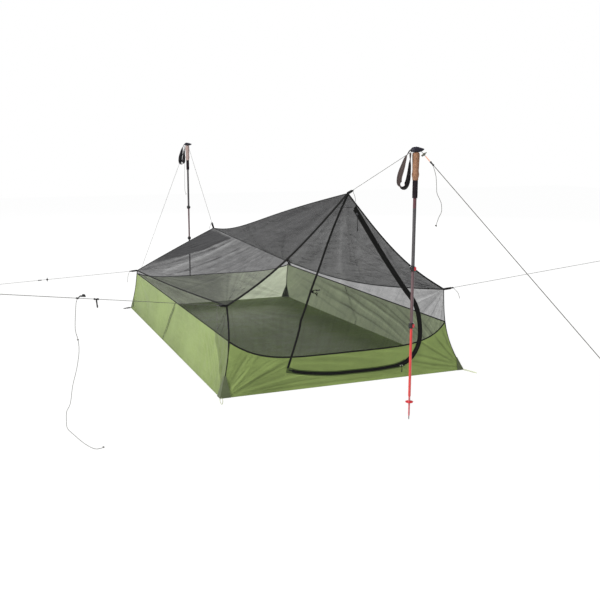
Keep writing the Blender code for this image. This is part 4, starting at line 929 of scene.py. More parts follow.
def finishes():
    return {
        "left_wall": nylon("nylon_left", GREEN, glow=0.28, turn=1.2, painted_crease_light=0.34),
        "right_wall": nylon("nylon_right", GREEN_INNER_PAINTED_BACKLIGHT, glow=0.42, turn=0.5, wrinkle=0.0028,
                            shine=SHINE_RIGHT),
        # The rear wall's green is painted lighter still
        "rear_wall": nylon("nylon_rear", GREEN_INNER_PAINTED_BACKLIGHT, glow=0.55, turn=-0.5, lighter=1.1, shine=SHINE_REAR),
        "front_wall": nylon("nylon_front", GREEN_FRONT_PAINTED_SHADE, glow=0.24, turn=0.25, wrinkle=0.0024, painted_crease_light=0.36),
        "door": nylon("nylon_door", GREEN_DOOR_PAINTED_SHADE, glow=0.24, turn=-0.15, wrinkle=0.0024, painted_crease_light=0.36),
        "patch": nylon("patch_cloth", (0.080, 0.100, 0.048), glow=0.1, painted_crease_light=0.8),
        "floor": floor_cloth("floor_cloth", FLOOR_COLOUR),
        "tape": webbing("binding_tape"),
        "olive_tape": webbing("olive_tape", (0.042, 0.060, 0.020), (0.07, 0.09, 0.04), 0.0011),
        "zip_tape": webbing("zip_tape", (0.0050, 0.0052, 0.0046), (0.014, 0.014, 0.012), 0.0009),
        "coil": moulded("zip_coil", (0.0050, 0.0052, 0.0050), 0.5, 420.0, 0.1, gloss=0.15),
        "webbing": webbing("tab_webbing", (0.0056, 0.0056, 0.0056), (0.03, 0.03, 0.03), 0.0016),
        "strap": webbing("strap_webbing", (0.0080, 0.0068, 0.0078), (0.05, 0.045, 0.045), 0.0018),
        "grey_strap": webbing("grey_strap_webbing", (0.026, 0.024, 0.027), (0.06, 0.06, 0.06), 0.0018),
        "strap_lining": webbing("strap_lining", (0.105, 0.080, 0.074), (0.05, 0.04, 0.04), 0.0022),
        "seam": nylon("felled_seam", (0.045, 0.056, 0.028), glow=0.05),
        "line": braid("guy_line", (0.070, 0.070, 0.062), (0.36, 0.36, 0.32)),
        "stub": braid("black_line", (0.010, 0.010, 0.010), (0.06, 0.06, 0.05)),
        "pale_line": braid("stake_line", (0.46, 0.50, 0.33), (0.28, 0.31, 0.20)),
        "tint_line": braid("tinted_line", (0.62, 0.30, 0.20), (0.75, 0.55, 0.42)),
        "plastic": moulded("black_plastic", (0.008, 0.008, 0.0085), 0.40, gloss=0.35),
        "olive": moulded("olive_plastic", (0.085, 0.085, 0.062), 0.45, gloss=0.35),
        "rubber": moulded("black_rubber", (0.010, 0.009, 0.018), 0.55, 180.0, gloss=0.35),
        "foam": moulded("grip_foam", (0.011, 0.0075, 0.0105), 0.9, 520.0, 0.3, gloss=0.2),
        "taupe": moulded("taupe_foam", (0.335, 0.250, 0.235), 0.85, 420.0, 0.3, gloss=0.2),
        "metal": moulded("dark_metal", (0.10, 0.10, 0.105), 0.34, 300.0, 0.3, metallic=0.8),
        "shaft": moulded("shaft_paint", (0.045, 0.041, 0.044), 0.36, 340.0, 0.22, coat=0.3, metallic=0.3),
        "maroon": moulded("maroon_paint", (0.085, 0.028, 0.034), 0.34, 340.0, 0.22, coat=0.3, metallic=0.3),
        "plum": moulded("plum_paint", (0.095, 0.052, 0.058), 0.36, 340.0, 0.22, coat=0.3, metallic=0.3),
        "red": moulded("red_paint", (0.50, 0.030, 0.026), 0.30, 340.0, 0.2, coat=0.4, metallic=0.15),
        "red_plastic": moulded("red_plastic", (0.50, 0.020, 0.028), 0.36, 240.0, 0.2),
        "pink": moulded("tip_plastic", (0.42, 0.10, 0.11), 0.45, 240.0, 0.2),
        "steel": moulded("tip_steel", (0.10, 0.10, 0.10), 0.34, 300.0, 0.3, metallic=0.9),
        "cork": cork_finish("cork"),
        "left_roof": netting("left_roof_net", 0.755, MESH_COLOUR, turn=1.05, stretch=(1, 9, 1), creased=0.08),
        "right_roof": netting("right_roof_net", 0.812, MESH_COLOUR, turn=0.75, creased=0.08),
        "left_side": netting("left_side_net", 0.47, MESH_COLOUR, turn=0.6, creased=0.14),
        "right_side": netting("right_side_net", 0.42, MESH_COLOUR, turn=0.2),
        "rear_net": netting("rear_net", 0.47, MESH_COLOUR, turn=0.4),
        "front_net": netting("front_net", 0.468, MESH_COLOUR, turn=0.0, stretch=(9, 1, 1), creased=0.09),
        "peak_net": netting("peak_net", 0.62, (0.05, 0.05, 0.052), turn=0.0, stretch=(9, 1, 1), creased=0.06),
    }


# Mesh helpers

def as_array(points):
    return np.array([tuple(point) for point in points], float)


def smooth(value, low=0.0, high=1.0):
    t = np.clip((value - low) / (high - low), 0, 1)
    return t * t * (3 - 2 * t)


class Mould:
    """Gathers grids of points into one mesh, with a map of each surface in metres."""

    def __init__(self):
        self.places, self.faces, self.marks, self.slots, self.count = [], [], [], [], 0
        self.painted_shade_and_density = None

    def grid(self, places, marks, slot=0):
        rows, columns = places.shape[:2]
        index = np.arange(rows * columns).reshape(rows, columns) + self.count
        quads = np.stack([index[:-1, :-1], index[:-1, 1:], index[1:, 1:], index[1:, :-1]], axis=-1)
        self.places.append(places.reshape(-1, 3))
        self.marks.append(marks.reshape(-1, 2))
        self.faces += [tuple(quad) for quad in quads.reshape(-1, 4).tolist()]
        self.slots += [slot] * (len(self.faces) - len(self.slots))
        self.count += rows * columns
        return index

    def cap(self, ring, slot=0):
        self.faces.append(tuple(int(number) for number in ring))
        self.slots.append(slot)

    def add(self, places, faces, slot=0):
        """Loose points and faces, mapped by their x and y."""
        places = np.array([tuple(place) for place in places], float)
        self.places.append(places)
        self.marks.append(places[:, :2])
        self.faces += [tuple(int(number) + self.count for number in face) for face in faces]
        self.slots += [slot] * len(faces)
        self.count += len(places)

    def done(self, name, finish, body, slot_name=None, sharp=40, node=None):
        places = np.concatenate(self.places)
        marks = np.concatenate(self.marks)
        mesh = bpy.data.meshes.new(name)
        mesh.from_pydata(places.tolist(), [], self.faces)
        layer = mesh.uv_layers.new(name="metres")
        corners = np.zeros(len(mesh.loops), np.int32)
        mesh.loops.foreach_get("vertex_index", corners)
        layer.data.foreach_set("uv", marks[corners].astype(np.float32).ravel())
        mesh.polygons.foreach_set("material_index", np.array(self.slots, np.int32))
        # Painted shade and light for nylon, extra density for netting, as a layer on the mesh
        if self.painted_shade_and_density is not None:
            shade_and_density_scale = mesh.attributes.new("painted_shade_and_density", "FLOAT", "POINT")
            shade_and_density_scale.data.foreach_set("value", self.painted_shade_and_density.astype(np.float32))
        for made in (finish if isinstance(finish, (list, tuple)) else [finish]):
            mesh.materials.append(made)
        bm = bmesh.new()
        bm.from_mesh(mesh)
        bmesh.ops.remove_doubles(bm, verts=bm.verts, dist=WELD_DISTANCE)
        bm.to_mesh(mesh)
        bm.free()
        mesh.shade_smooth()
        mesh.set_sharp_from_angle(angle=math.radians(sharp))
        item = bpy.data.objects.new(name, mesh)
        bpy.context.scene.collection.objects.link(item)
        if isinstance(body, str):
            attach(item, body)
        else:
            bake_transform(item)
        if node:
            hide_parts(node)
        return item


def ring_frames(route, face):
    """Directions along, across and out of a route whose wide side looks towards face."""
    along = np.gradient(route, axis=0)
    along /= np.maximum(np.linalg.norm(along, axis=1, keepdims=True), 1e-9)
    face = np.broadcast_to(np.array(face, float), route.shape)
    across = np.cross(along, face)
    across /= np.maximum(np.linalg.norm(across, axis=1, keepdims=True), 1e-9)
    return along, across, np.cross(across, along)


def running(route):
    return np.concatenate([[0], np.cumsum(np.linalg.norm(np.diff(route, axis=0), axis=1))])


def tape(mould, route, width, thickness, face, lift=0.0, slot=0, sides=10, power=0.55):
    """Flat tape along a route, its rounded edges included."""
    route = as_array(route)
    across, out = ring_frames(route, face)[1:]
    turns = np.linspace(0, math.tau, sides + 1)
    wide = np.sign(np.cos(turns)) * np.abs(np.cos(turns)) ** power * 0.5
    high = np.sign(np.sin(turns)) * np.abs(np.sin(turns)) ** power * 0.5
    width = np.broadcast_to(np.array(width, float), (len(route),))[:, None, None]
    rings = route[:, None] + across[:, None] * wide[None, :, None] * width
    rings = rings + out[:, None] * (high[None, :, None] * thickness + lift)
    marks = np.stack(np.broadcast_arrays(running(route)[:, None], (turns / math.tau)[None]), axis=-1)
    index = mould.grid(rings, marks, slot)
    mould.cap(index[0, :-1], slot)
    mould.cap(index[-1, :-1][::-1], slot)


def round_bar(mould, route, radius, sides=12, slot=0, face=(0.31, 0.52, 0.8)):
    """Round bar along a route; the radius may change along it."""
    route = as_array(route)
    along, across, out = ring_frames(route, face)
    for index in range(1, len(route)):
        flat = across[index - 1] - along[index] * across[index - 1].dot(along[index])
        across[index] = flat / max(np.linalg.norm(flat), 1e-9)
        out[index] = np.cross(across[index], along[index])
    turns = np.linspace(0, math.tau, sides + 1)
    radius = np.broadcast_to(np.array(radius, float), (len(route),))[:, None, None]
    rings = route[:, None] + radius * (across[:, None] * np.cos(turns)[None, :, None]
                                       + out[:, None] * np.sin(turns)[None, :, None])
    marks = np.stack(np.broadcast_arrays(running(route)[:, None], (turns * radius.mean())[None]), axis=-1)
    index = mould.grid(rings, marks, slot)
    mould.cap(index[0, :-1][::-1], slot)
    mould.cap(index[-1, :-1], slot)


def turned(mould, place, along, profile, sides):
    """Round bar along a direction, its profile given as (distance from the place, radius)."""
    steps, radii = zip(*profile)
    round_bar(mould, [place + along * step for step in steps], radii, sides)


def lathe(mould, profile, sides=40, centre=(0, 0, 0), squeeze=1.0, slot=0):
    """Turn a profile of (radius, height) about Z, flattened across Y by squeeze."""
    profile = np.array(profile, float)
    turns = np.linspace(0, math.tau, sides + 1)
    rings = np.stack([profile[:, :1] * np.cos(turns), profile[:, :1] * np.sin(turns) * squeeze,
                      np.broadcast_to(profile[:, 1:], (len(profile), sides + 1))], axis=-1)
    length = running(np.stack([profile[:, 0], profile[:, 1], profile[:, 1] * 0], axis=1))
    marks = np.stack(np.broadcast_arrays((turns * profile[:, 0].max())[None], length[:, None]), axis=-1)
    mould.grid(rings + np.array(centre, float), marks, slot)


def rounded(profile, steps=4):
    """The same profile through a smooth curve."""
    route = smooth_route([Vector((r, h, 0)) for r, h in profile], steps)
    return [(max(0.0, point.x), point.y) for point in route]


def block(mould, size, centre, axes=None, bevel=0.001, slot=0):
    """Bevelled block; axes are its local X, Y and Z directions."""
    bm = bmesh.new()
    bmesh.ops.create_cube(bm, size=1.0)
    bmesh.ops.scale(bm, vec=size, verts=bm.verts)
    bmesh.ops.bevel(bm, geom=bm.edges[:], offset=min(bevel, min(size) * 0.42), segments=3, affect="EDGES",
                    profile=0.6)
    turn = np.array(axes if axes is not None else np.identity(3), float)
    bm.verts.ensure_lookup_table()
    places = np.array([tuple(vert.co) for vert in bm.verts]) @ turn + np.array(tuple(centre), float)
    faces = [[vert.index for vert in f.verts] for f in bm.faces]
    bm.free()
    mould.add(places, faces, slot)


def axes_of(along, up=(0, 0, 1)):
    """Local axes with X along a direction and Z as near to up as it can be."""
    x = Vector(along).normalized()
    y = Vector(up).cross(x).normalized()
    return np.array([tuple(x), tuple(y), tuple(x.cross(y))])


# Cloth

def dense(grid, spacing):
    """Finer copy of a grid of points, with no step longer than the spacing."""
    places = np.array([[tuple(point) for point in row] for row in grid], float)
    for axis in (0, 1):
        gaps = np.linalg.norm(np.diff(places, axis=axis), axis=2).max(axis=1 - axis)
        steps = np.maximum(1, np.ceil(gaps / spacing)).astype(int)
        marks = np.concatenate([i + np.arange(n) / n for i, n in enumerate(steps)] + [[len(steps)]])
        low = np.minimum(marks.astype(int), len(steps) - 1)
        share = (marks - low).reshape((-1, 1, 1) if axis == 0 else (1, -1, 1))
        near = np.take(places, low, axis=axis)
        places = near + (np.take(places, low + 1, axis=axis) - near) * share
    return places


class Cloth:
    """A sheet between four edges: its points, its map in metres, its folds, and a layer that paints shade and
    light on nylon and thickens netting.
    """

    def __init__(self, grid, spacing, out):
        self.places = dense(grid, spacing)
        self.base = self.places.copy()
        steps = np.linalg.norm(np.diff(self.places, axis=1), axis=2)
        self.u = np.concatenate([np.zeros((len(steps), 1)), np.cumsum(steps, axis=1)], axis=1)
        steps = np.linalg.norm(np.diff(self.places, axis=0), axis=2)
        self.v = np.concatenate([np.zeros((1, steps.shape[1])), np.cumsum(steps, axis=0)], axis=0)
        self.wide, self.tall = self.u[:, -1:], self.v[-1:]
        normal = np.cross(np.gradient(self.places, axis=1), np.gradient(self.places, axis=0))
        length = np.linalg.norm(normal, axis=2, keepdims=True)
        middle = normal.sum(axis=(0, 1))
        middle /= np.linalg.norm(middle)
        normal = np.where(length > 1e-12, normal / np.maximum(length, 1e-12), middle)
        if middle @ np.array(out, float) < 0:
            normal, middle = -normal, -middle
        self.normal, self.middle = normal, middle
        self.height = np.zeros(self.places.shape[:2])
        self.painted_shade_and_density = np.zeros(self.places.shape[:2])

    def inside(self, margin):
        away = np.minimum(np.minimum(self.u, self.wide - self.u), np.minimum(self.v, self.tall - self.v))
        return smooth(away, 0.0, margin)

    def fan(self, corner, toward, folds, reach, start=0.04, shade=0.0):
        """Folds that fan out from a corner: each is (angle in degrees, width in degrees, height in m)."""
        corner = np.array(tuple(corner), float)
        first = np.array(tuple(toward), float) - corner
        first -= self.middle * first.dot(self.middle)
        first /= np.linalg.norm(first)
        second = np.cross(self.middle, first)
        away = self.base - corner
        x, y = away @ first, away @ second
        far = np.hypot(x, y)
        angle = np.degrees(np.arctan2(y, x))
        total = sum(high * np.exp(-((angle - turn) / wide) ** 2) for turn, wide, high in folds)
        fade = smooth(far, 0.0, start) * (1 - smooth(far, reach * 0.35, reach))
        self.height += total * fade
        # shade paints the folds: raised ones lighter and sunk ones darker on nylon (painted light and shade),
        # thinner and thicker on netting
        self.painted_shade_and_density -= total * fade * shade

    def rays(self, seed, corner, toward, spread_of, count, reach, height, shade, width=0.8):
        """Many fine creases that run out of a corner within an angle."""
        dice = np.random.default_rng(seed)
        folds = []
        for turn in np.linspace(spread_of[0], spread_of[1], count):
            sign = dice.choice((-1.0, 1.0))
            folds.append((turn + dice.uniform(-0.5, 0.5) * (spread_of[1] - spread_of[0]) / count,
                          width * dice.uniform(0.6, 1.5), sign * height * dice.uniform(0.4, 1.2)))
        self.fan(corner, toward, folds, reach, shade=shade)

    def waves(self, seed, length, heading, spread_of, height, count=7, where=1.0, shade=0.0):
        """Soft ripples of about one length that run across a heading in degrees."""
        dice = np.random.default_rng(seed)
        total = np.zeros_like(self.u)
        for _ in range(count):
            turn = math.radians(heading + dice.uniform(-spread_of, spread_of))
            size = length * dice.uniform(0.6, 1.7)
            phase = dice.uniform(0, math.tau)
            bend = 0.7 * np.sin((self.u * 1.3 - self.v) * math.tau / (size * 3.1) + phase * 2)
            total += np.cos((self.u * math.cos(turn) + self.v * math.sin(turn)) * math.tau / size
                            + phase + bend)
        self.height += height * total / math.sqrt(count) * where
        # shade paints the ripples darker and lighter on nylon (painted shade and light), thicker and thinner
        # on netting
        self.painted_shade_and_density += shade * total / math.sqrt(count) * where

    def streak(self, route, width, amount, height=0.0, axes=(0, 1), taper=0.5):
        """A crease along a route, given in two of the coordinates; amount is how much darker it looks:
        painted shade on nylon, painted light where it is negative, and extra net density on netting.
        """
        route = np.array(route, float)
        here = self.base[..., list(axes)]
        lengths = running(route)
        near = np.full(self.u.shape, 9.0)
        share = np.zeros_like(near)
        for index, (start, end) in enumerate(zip(route, route[1:])):
            line = end - start
            t = np.clip(((here - start) @ line) / (line @ line), 0, 1)
            away = np.linalg.norm(here - start - t[..., None] * line, axis=2)
            closer = away < near
            near = np.where(closer, away, near)
            share = np.where(closer,
                             (lengths[index] + t * (lengths[index + 1] - lengths[index])) / lengths[-1],
                             share)
        shape = np.exp(-(near / width) ** 2) * np.maximum(np.sin(math.pi * share), 0.0) ** taper
        self.painted_shade_and_density += amount * shape
        self.height += height * shape

    def creases(self, rows, height, axes=(0, 1), taper=0.35, wider=1.0, shade_and_density_scale=1.0):
        """Streaks, each (route, width, amount): the darker ones lie low and the lighter ones stand out; on
        nylon these are painted shade and painted light, on netting thicker and thinner net.
        """
        for route, width, amount in rows:
            self.streak(route, width * wider, amount * shade_and_density_scale, -height * math.copysign(1, amount), axes,
                        taper)

    def done(self, name, finish, body, slot_name, held, node, rests_on, margin=0.03, turning=None):
        self.places = self.base + self.normal * (self.height * self.inside(margin))[..., None]
        mould = Mould()
        mould.grid(self.places, np.stack([self.u, self.v], axis=-1))
        mould.painted_shade_and_density = self.painted_shade_and_density.ravel()
        item = mould.done(name, finish, turning or body, slot_name, sharp=180)
        across = np.cross(self.base[1:, :-1] - self.base[:-1, :-1], self.base[:-1, 1:] - self.base[:-1, :-1])
        other = np.cross(self.base[1:, :-1] - self.base[1:, 1:], self.base[:-1, 1:] - self.base[1:, 1:])
        area = float(np.linalg.norm(across, axis=2).sum() + np.linalg.norm(other, axis=2).sum()) / 2
        wide, tall = float(self.wide.max()), float(self.tall.max())
        area = max(0.31 * wide * tall, min(area, wide * tall))
        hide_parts(node)
        return item


# Cords

def cord_curve(name, route, finish, node, pieces=()):
    """Cord along a route, drawn as one open curve, which leaves its fitting at start."""
    data = bpy.data.curves.new(name, "CURVE")
    data.dimensions = "3D"
    data.bevel_depth = GUY_RADIUS
    data.bevel_resolution = 3
    data.use_fill_caps = True
    spline = data.splines.new("POLY")
    spline.points.add(len(route) - 1)
    for spot, point in zip(spline.points, route):
        spot.co = (*point, 1.0)
    data.materials.append(finish)
    item = bpy.data.objects.new(name, data)
    bpy.context.scene.collection.objects.link(item)
    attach(item, "shelter")
    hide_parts(node)


def knot(name, place, along, size, finish):
    """Small overhand knot drawn round a point of a cord."""
    turn = Vector(along).to_track_quat("Z", "Y").to_matrix()
    route = []
    for step in range(49):
        t = math.tau * step / 48
        shape = Vector((math.sin(t) + 2 * math.sin(2 * t), math.cos(t) - 2 * math.cos(2 * t),
                        -1.6 * math.sin(3 * t)))
        route.append(Vector(place) + turn @ (shape * size / 6))
    mould = Mould()
    round_bar(mould, route, GUY_RADIUS * 0.95, 8)
    return mould.done(name, finish, "shelter", "guy_line")


def build_lines(make):
    """Lines at the eave corners and peaks, each with its short loose end, then the poles' lines."""
    ties = tie_points()
    line = make["line"]
    for name, end in (("front_left", FRONT_LEFT_GUY_END), ("front_right", FRONT_RIGHT_GUY_END),
                      ("rear_left", REAR_LEFT_GUY_END)):
        place, along = ties[name]
        lock = lock_end(place, along)
        turn = lock + along * GUY_CLEARANCE
        route = end_loop(end, along, EYE_LENGTH)[::-1]
        if name == "front_left":
            route = front_left_tail(lock, along) + returning(end, along, RETURN_LENGTH) + route
            extra = hardware_front_left(make, lock, along)
            extra.append(knot("front_left_end_knot", route[0], route[1] - route[0], SMALL_KNOT, line))
            extra.append(knot("front_left_tail_knot", route[36], route[37] - route[36], SMALL_KNOT, line))
        else:
            extra = [knot(name + "_end_knot", end + along * 0.001, along, KNOT_SIZE, line)]
            if name == "rear_left":
                extra += hardware_rear_left(make, lock, along)
        route += [end] + [end.lerp(turn, share) for share in TAUT_SHARES]
        cord_curve(name + "_line", route, line, name + "_guy", extra)
        loose_end(name, turn, line)
    for name, post, side in (("front_peak", FRONT_POLE_PLACE, 1), ("rear_peak", REAR_POLE_PLACE, -1)):
        place, along = ties[name]
        end = peak_guy_end(post, side)
        turn = lock_end(place, along) + along * GUY_CLEARANCE
        route = [end - along * GUY_RADIUS] + [end.lerp(turn, share) for share in TAUT_SHARES]
        cord_curve(name + "_line", route, line, name + "_guy")
        loose_end(name, turn, line)
    build_pole_lines(make)


def loose_end(name, turn, finish):
    """The short end that hangs out of a tie-out's lock."""
    route = tail_from(turn, name)
    cord_curve(name + "_loose_end", route, finish, name + "_guy")


def build_pole_lines(make):
    """The front pole's line with its hanging tail, and the rear pole's two cords."""
    line = make["line"]
    along = (POLE_GUY_END - POLE_GUY_START).normalized()
    aside = beside(along)
    root = POLE_GUY_START + along * POLE_TAIL_REACH + aside
    route = smooth_route([root + Vector(step) for step in POLE_SLACK] + [root], 3)[:-1]
    tail_end = (route[0], route[1] - route[0])
    route += [root + along * 0.006] + returning(POLE_GUY_END, along, RETURN_LENGTH)
    route += end_loop(POLE_GUY_END, along, EYE_LENGTH)[::-1]
    route += [POLE_GUY_END] + [POLE_GUY_START.lerp(POLE_GUY_END, share) for share in (0.75, 0.5, 0.25, 0.0)]
    extra = [knot("front_pole_tail_knot", *tail_end, KNOT_SIZE, line)] + hardware_pole(make, along)
    cord_curve("front_pole_line", route, line, "front_pole_guy", extra)
    side = REAR_POLE_PLACE[1] + HEAD_WIDTH / 2 + GAP + GUY_RADIUS
    head = Vector((REAR_POLE_PLACE[0] - 0.004, side, POLE_HEIGHT - HEAD_HEIGHT * 0.7))
    drop = [(-0.008, 0.013, -0.398), (-0.016, 0.017, -0.358), (-0.014, 0.017, -0.208),
            (-0.010, 0.013, -0.068)]
    slack = smooth_route([head + Vector(step) for step in drop] + [head], 4)
    cord_curve("rear_pole_slack", slack, line, "rear_pole_guy",
               [knot("rear_pole_slack_knot", slack[0], slack[1] - slack[0], SMALL_KNOT, line)])
    route = [head] + [head.lerp(REAR_POLE_GUY_END, share) for share in (0.01, 0.25, 0.5, 0.75, 1.0)]
    cord_curve("rear_pole_line", route, line, "rear_pole_guy",
               [knot("rear_pole_line_knot", route[-1], route[-1] - route[-2], KNOT_SIZE, line)])


def sleeve_piece(name, place, along, finish, body, node, bore):
    """Tensioner: a waisted sleeve with two grip rings."""
    half, radius = TENSIONER_LENGTH / 2, TENSIONER_RADIUS
    mould = Mould()
    outer = rounded([(radius * 0.86, -half), (radius, -half * 0.82), (radius * 0.72, -half * 0.4),
                     (radius * 0.68, 0), (radius * 0.72, half * 0.4), (radius, half * 0.82),
                     (radius * 0.86, half)])
    lathe(mould, [(bore, -half)] + outer + [(bore, half), (bore, -half)], 24)
    turn = np.array(Vector(along).to_track_quat("Z", "Y").to_matrix())
    mould.places = [part @ turn.T + np.array(tuple(place)) for part in mould.places]
    item = mould.done(name, finish, body, "black_plastic", node=node)
    return item


def hardware_front_left(make, lock, along):
    """Toggle with its hanging bar, the hook beyond it and the small ferrule where the loose end leaves."""
    plastic = make["plastic"]
    reach = lock + along * FRONT_LEFT_TENSIONER_REACH
    made = [sleeve_piece("front_left_line_toggle", reach, along, plastic, "front_left_tensioner",
                         "front_left_tensioner", TENSIONER_BORE * 1.1)]
    mould = Mould()
    down = Vector((0.10, -0.02, -1.0)).normalized()
    start = reach + down * 0.003
    turned(mould, start, down,
           ((0, 0.0028), (0.006, 0.0034), (0.016, 0.0030), (0.030, 0.0034), (0.036, 0.0020)), 14)
    for side in (-1, 1):
        ear = Vector((side, 0, 0.25)).normalized()
        turned(mould, reach, ear, ((0.0035, 0.0022), (0.007, 0.0026), (0.010, 0.0012)), 10)
    made.append(mould.done("front_left_line_bar", plastic, "front_left_tensioner", "black_plastic"))
    middle = beside(along) / 2
    hook = lock + along * (FRONT_LEFT_TAIL_REACH - 0.030)
    mould = Mould()
    axes = axes_of(along)
    block(mould, (0.024, 0.010, 0.006), hook + Vector((0, 0, 0.0100)), axes, 0.0024)
    block(mould, (0.012, 0.012, 0.012), hook - along * 0.004 + Vector((0, 0, 0.0130)), axes, 0.004)
    round_bar(mould, [hook + along * reach + Vector((0, 0, z)) for reach, z in
                      ((0.008, 0.0100), (0.014, 0.0085), (0.0185, 0.0050), (0.0215, 0.0012))],
              [0.0026, 0.0026, 0.0024, 0.0020], 12)
    made.append(mould.done("front_left_line_hook", plastic, "shelter", "black_plastic"))
    mould = Mould()
    ferrule = lock + along * (FRONT_LEFT_TAIL_REACH - 0.003) + middle
    turned(mould, ferrule, along, ((-0.006, 0.003), (-0.0045, 0.0037), (0.0045, 0.0037), (0.006, 0.003)), 14)
    made.append(mould.done("front_left_line_ferrule", plastic, "shelter", "black_plastic"))
    return made


def hardware_rear_left(make, lock, along):
    """Tensioner, and a winged toggle between it and the lock."""
    plastic = make["plastic"]
    reach = lock + along * REAR_LEFT_TENSIONER_REACH
    made = [sleeve_piece("rear_left_line_toggle", reach, along, plastic, "rear_left_tensioner",
                         "rear_left_tensioner", TENSIONER_BORE * 1.1)]
    mould = Mould()
    near = reach - along * 0.052
    turned(mould, near, along, ((-0.007, 0.003), (-0.005, 0.0042), (0.005, 0.0042), (0.007, 0.003)), 14)
    for turn in (-1, 1):
        wing = Vector((0, 0, turn))
        turned(mould, near, wing, ((0.003, 0.0026), (0.008, 0.0030), (0.014, 0.0014)), 10)
    made.append(mould.done("rear_left_line_star", plastic, "shelter", "black_plastic"))
    return made


def hardware_pole(make, along):
    """Star-shaped toggle close to the grip, the tinted link and the tensioner below it."""
    plastic = make["plastic"]
    middle = beside(along) / 2
    place = POLE_GUY_START + along * POLE_TENSIONER_REACH + middle
    made = [sleeve_piece("front_pole_line_tensioner", place, along, plastic, "front_pole_tensioner",
                         "front_pole_tensioner", TENSIONER_WIDE_BORE)]
    star = POLE_GUY_START + along * 0.020
    side = along.cross(Vector((0, 1, 0))).normalized()
    other = along.cross(side)
    mould = Mould()
    turned(mould, star, along, ((-0.005, 0.0028), (-0.003, 0.0044), (0.003, 0.0044), (0.005, 0.0028)), 14)
    for index in range(5):
        turn = math.tau * index / 5 + 0.4
        arm = side * math.cos(turn) + other * math.sin(turn) * 0.8
        turned(mould, star, arm, ((0.003, 0.0030), (0.009, 0.0027), (0.0150, 0.0014)), 10)
    made.append(mould.done("front_pole_line_star", make["olive"], "shelter", "black_plastic"))
    mould = Mould()
    start, end = POLE_GUY_START + along * 0.030, POLE_GUY_START + along * 0.062
    round_bar(mould, [start.lerp(end, share) for share in (0, 0.3, 0.7, 1.0)],
              [0.0018, 0.0024, 0.0024, 0.0018], 12)
    made.append(mould.done("front_pole_line_link", make["tint_line"], "shelter", "guy_line"))
    return made


def hinge(z):
    """The door's seam as it hangs: the straight line of the joint, drawn a little to the left."""
    away = float(np.interp(z, SEAM_BOW[:, 0], SEAM_BOW[:, 1]))
    return straight_hinge(z) - Vector((away, 0, 0))


def door_turning():
    """Where the door's cloth starts and ends to turn, across the joint's line."""
    foot = straight_hinge(0.3)
    along = (straight_hinge(0.8) - foot).normalized()
    right = along.cross(Vector((0, -1, 0.046))).normalized()
    return tuple(foot - right * 0.020), tuple(foot + right * 0.045)


def front_out():
    """Outward direction of the front wall."""
    return Vector((0, -1, FRONT_PEAK_SETBACK / FRONT_PEAK_HEIGHT)).normalized()


# Shelter cloth

def build_floor_cloth(make):
    """Tub floor: laid on the ground, with low creases."""
    margin = SEAM_RADIUS
    corners = [Vector((side * (width / 2 + margin), end + math.copysign(margin, end), SHEET_THICKNESS * 0.6))
               for end, width in ((FRONT_END, FLOOR_FRONT_WIDTH), (REAR_END, FLOOR_REAR_WIDTH))
               for side in (LEFT, RIGHT)]
    near = between(corners[0], corners[1], 20)
    far = between(corners[2], corners[3], 20)
    left = between(corners[0], corners[2], 30)
    right = between(corners[1], corners[3], 30)
    cloth = Cloth(net_of_points(near, far, left, right), 0.012, (0, 0, 1))
    cloth.waves(11, 0.30, 20, 60, 0.0012, shade=0.05)
    cloth.waves(12, 0.11, 70, 70, 0.0006, shade=0.02)
    for index, (start, end) in enumerate((((-0.55, -0.95), (0.30, -0.55)), ((-0.50, -0.70), (0.45, -0.30)),
                                          ((-0.45, -0.35), (0.50, -0.05)), ((-0.40, 0.10), (0.55, 0.30)),
                                          ((-0.15, -1.00), (0.52, -0.75)), ((-0.45, 0.45), (0.48, 0.62)))):
        cloth.streak([start, end], 0.016, 0.07 if index % 2 else -0.07, 0.0015)
    cloth.streak([(-0.52, 1.06), (0.52, 1.08)], 0.05, -0.22)
    cloth.height -= cloth.height.min()
    cloth.done("floor_cloth", make["floor"], "shelter", "floor_nylon", "laid", "floor_sheet", [], margin=0.08)


def crease_left_wall(wall, front_low, rear_low):
    """Ripples, folds from the eave with painted shade and light along them, and the shaded strip beside the
    front seam, painted darker.
    """
    near = smooth(wall.u, 0.75, 0.0)
    wall.waves(21, 0.085, 8, 9, 0.0022, where=near)
    wall.waves(22, 0.60, 35, 30, 0.0030, shade=0.02)
    wall.waves(23, 0.16, 60, 40, 0.0007)
    wall.fan(rear_low[-1], front_low[0], [(4, 2.2, -0.0035), (-6, 3, 0.003), (-16, 3, -0.003)], 1.2, shade=8)
    wall.fan(front_low[0], rear_low[-1], [(2, 1.6, 0.0025), (8, 2, -0.0025), (20, 4, 0.003)], 1.0, shade=8)
    # The strip beside the front seam is turned to the front and lies in painted shade, with upright folds
    # behind it painted as darker lines
    y, z = wall.base[..., 1], wall.base[..., 2]
    edge = np.interp(z, (0.019, 0.064, 0.119, 0.179, 0.228), (-1.154, -1.099, -1.022, -0.952, -0.892))
    wall.painted_shade_and_density += 0.42 * smooth(edge - y, -0.010, 0.012)
    for shift, amount in ((0.030, 0.10), (0.062, 0.13), (0.105, 0.08), (0.150, 0.10), (0.21, 0.05),
                          (-0.05, 0.08)):
        wall.streak([(-1.154 + shift, 0.019), (-1.022 + shift, 0.119), (-0.892 + shift, 0.228)], 0.009,
                    amount, -0.002, axes=(1, 2), taper=0.3)
    # Painted shade: darker towards the rear end and along the foot
    rear = smooth(y, 0.75, 1.10)
    wall.painted_shade_and_density += 0.08 * rear + 0.14 * smooth(-z, -0.10, 0.0)


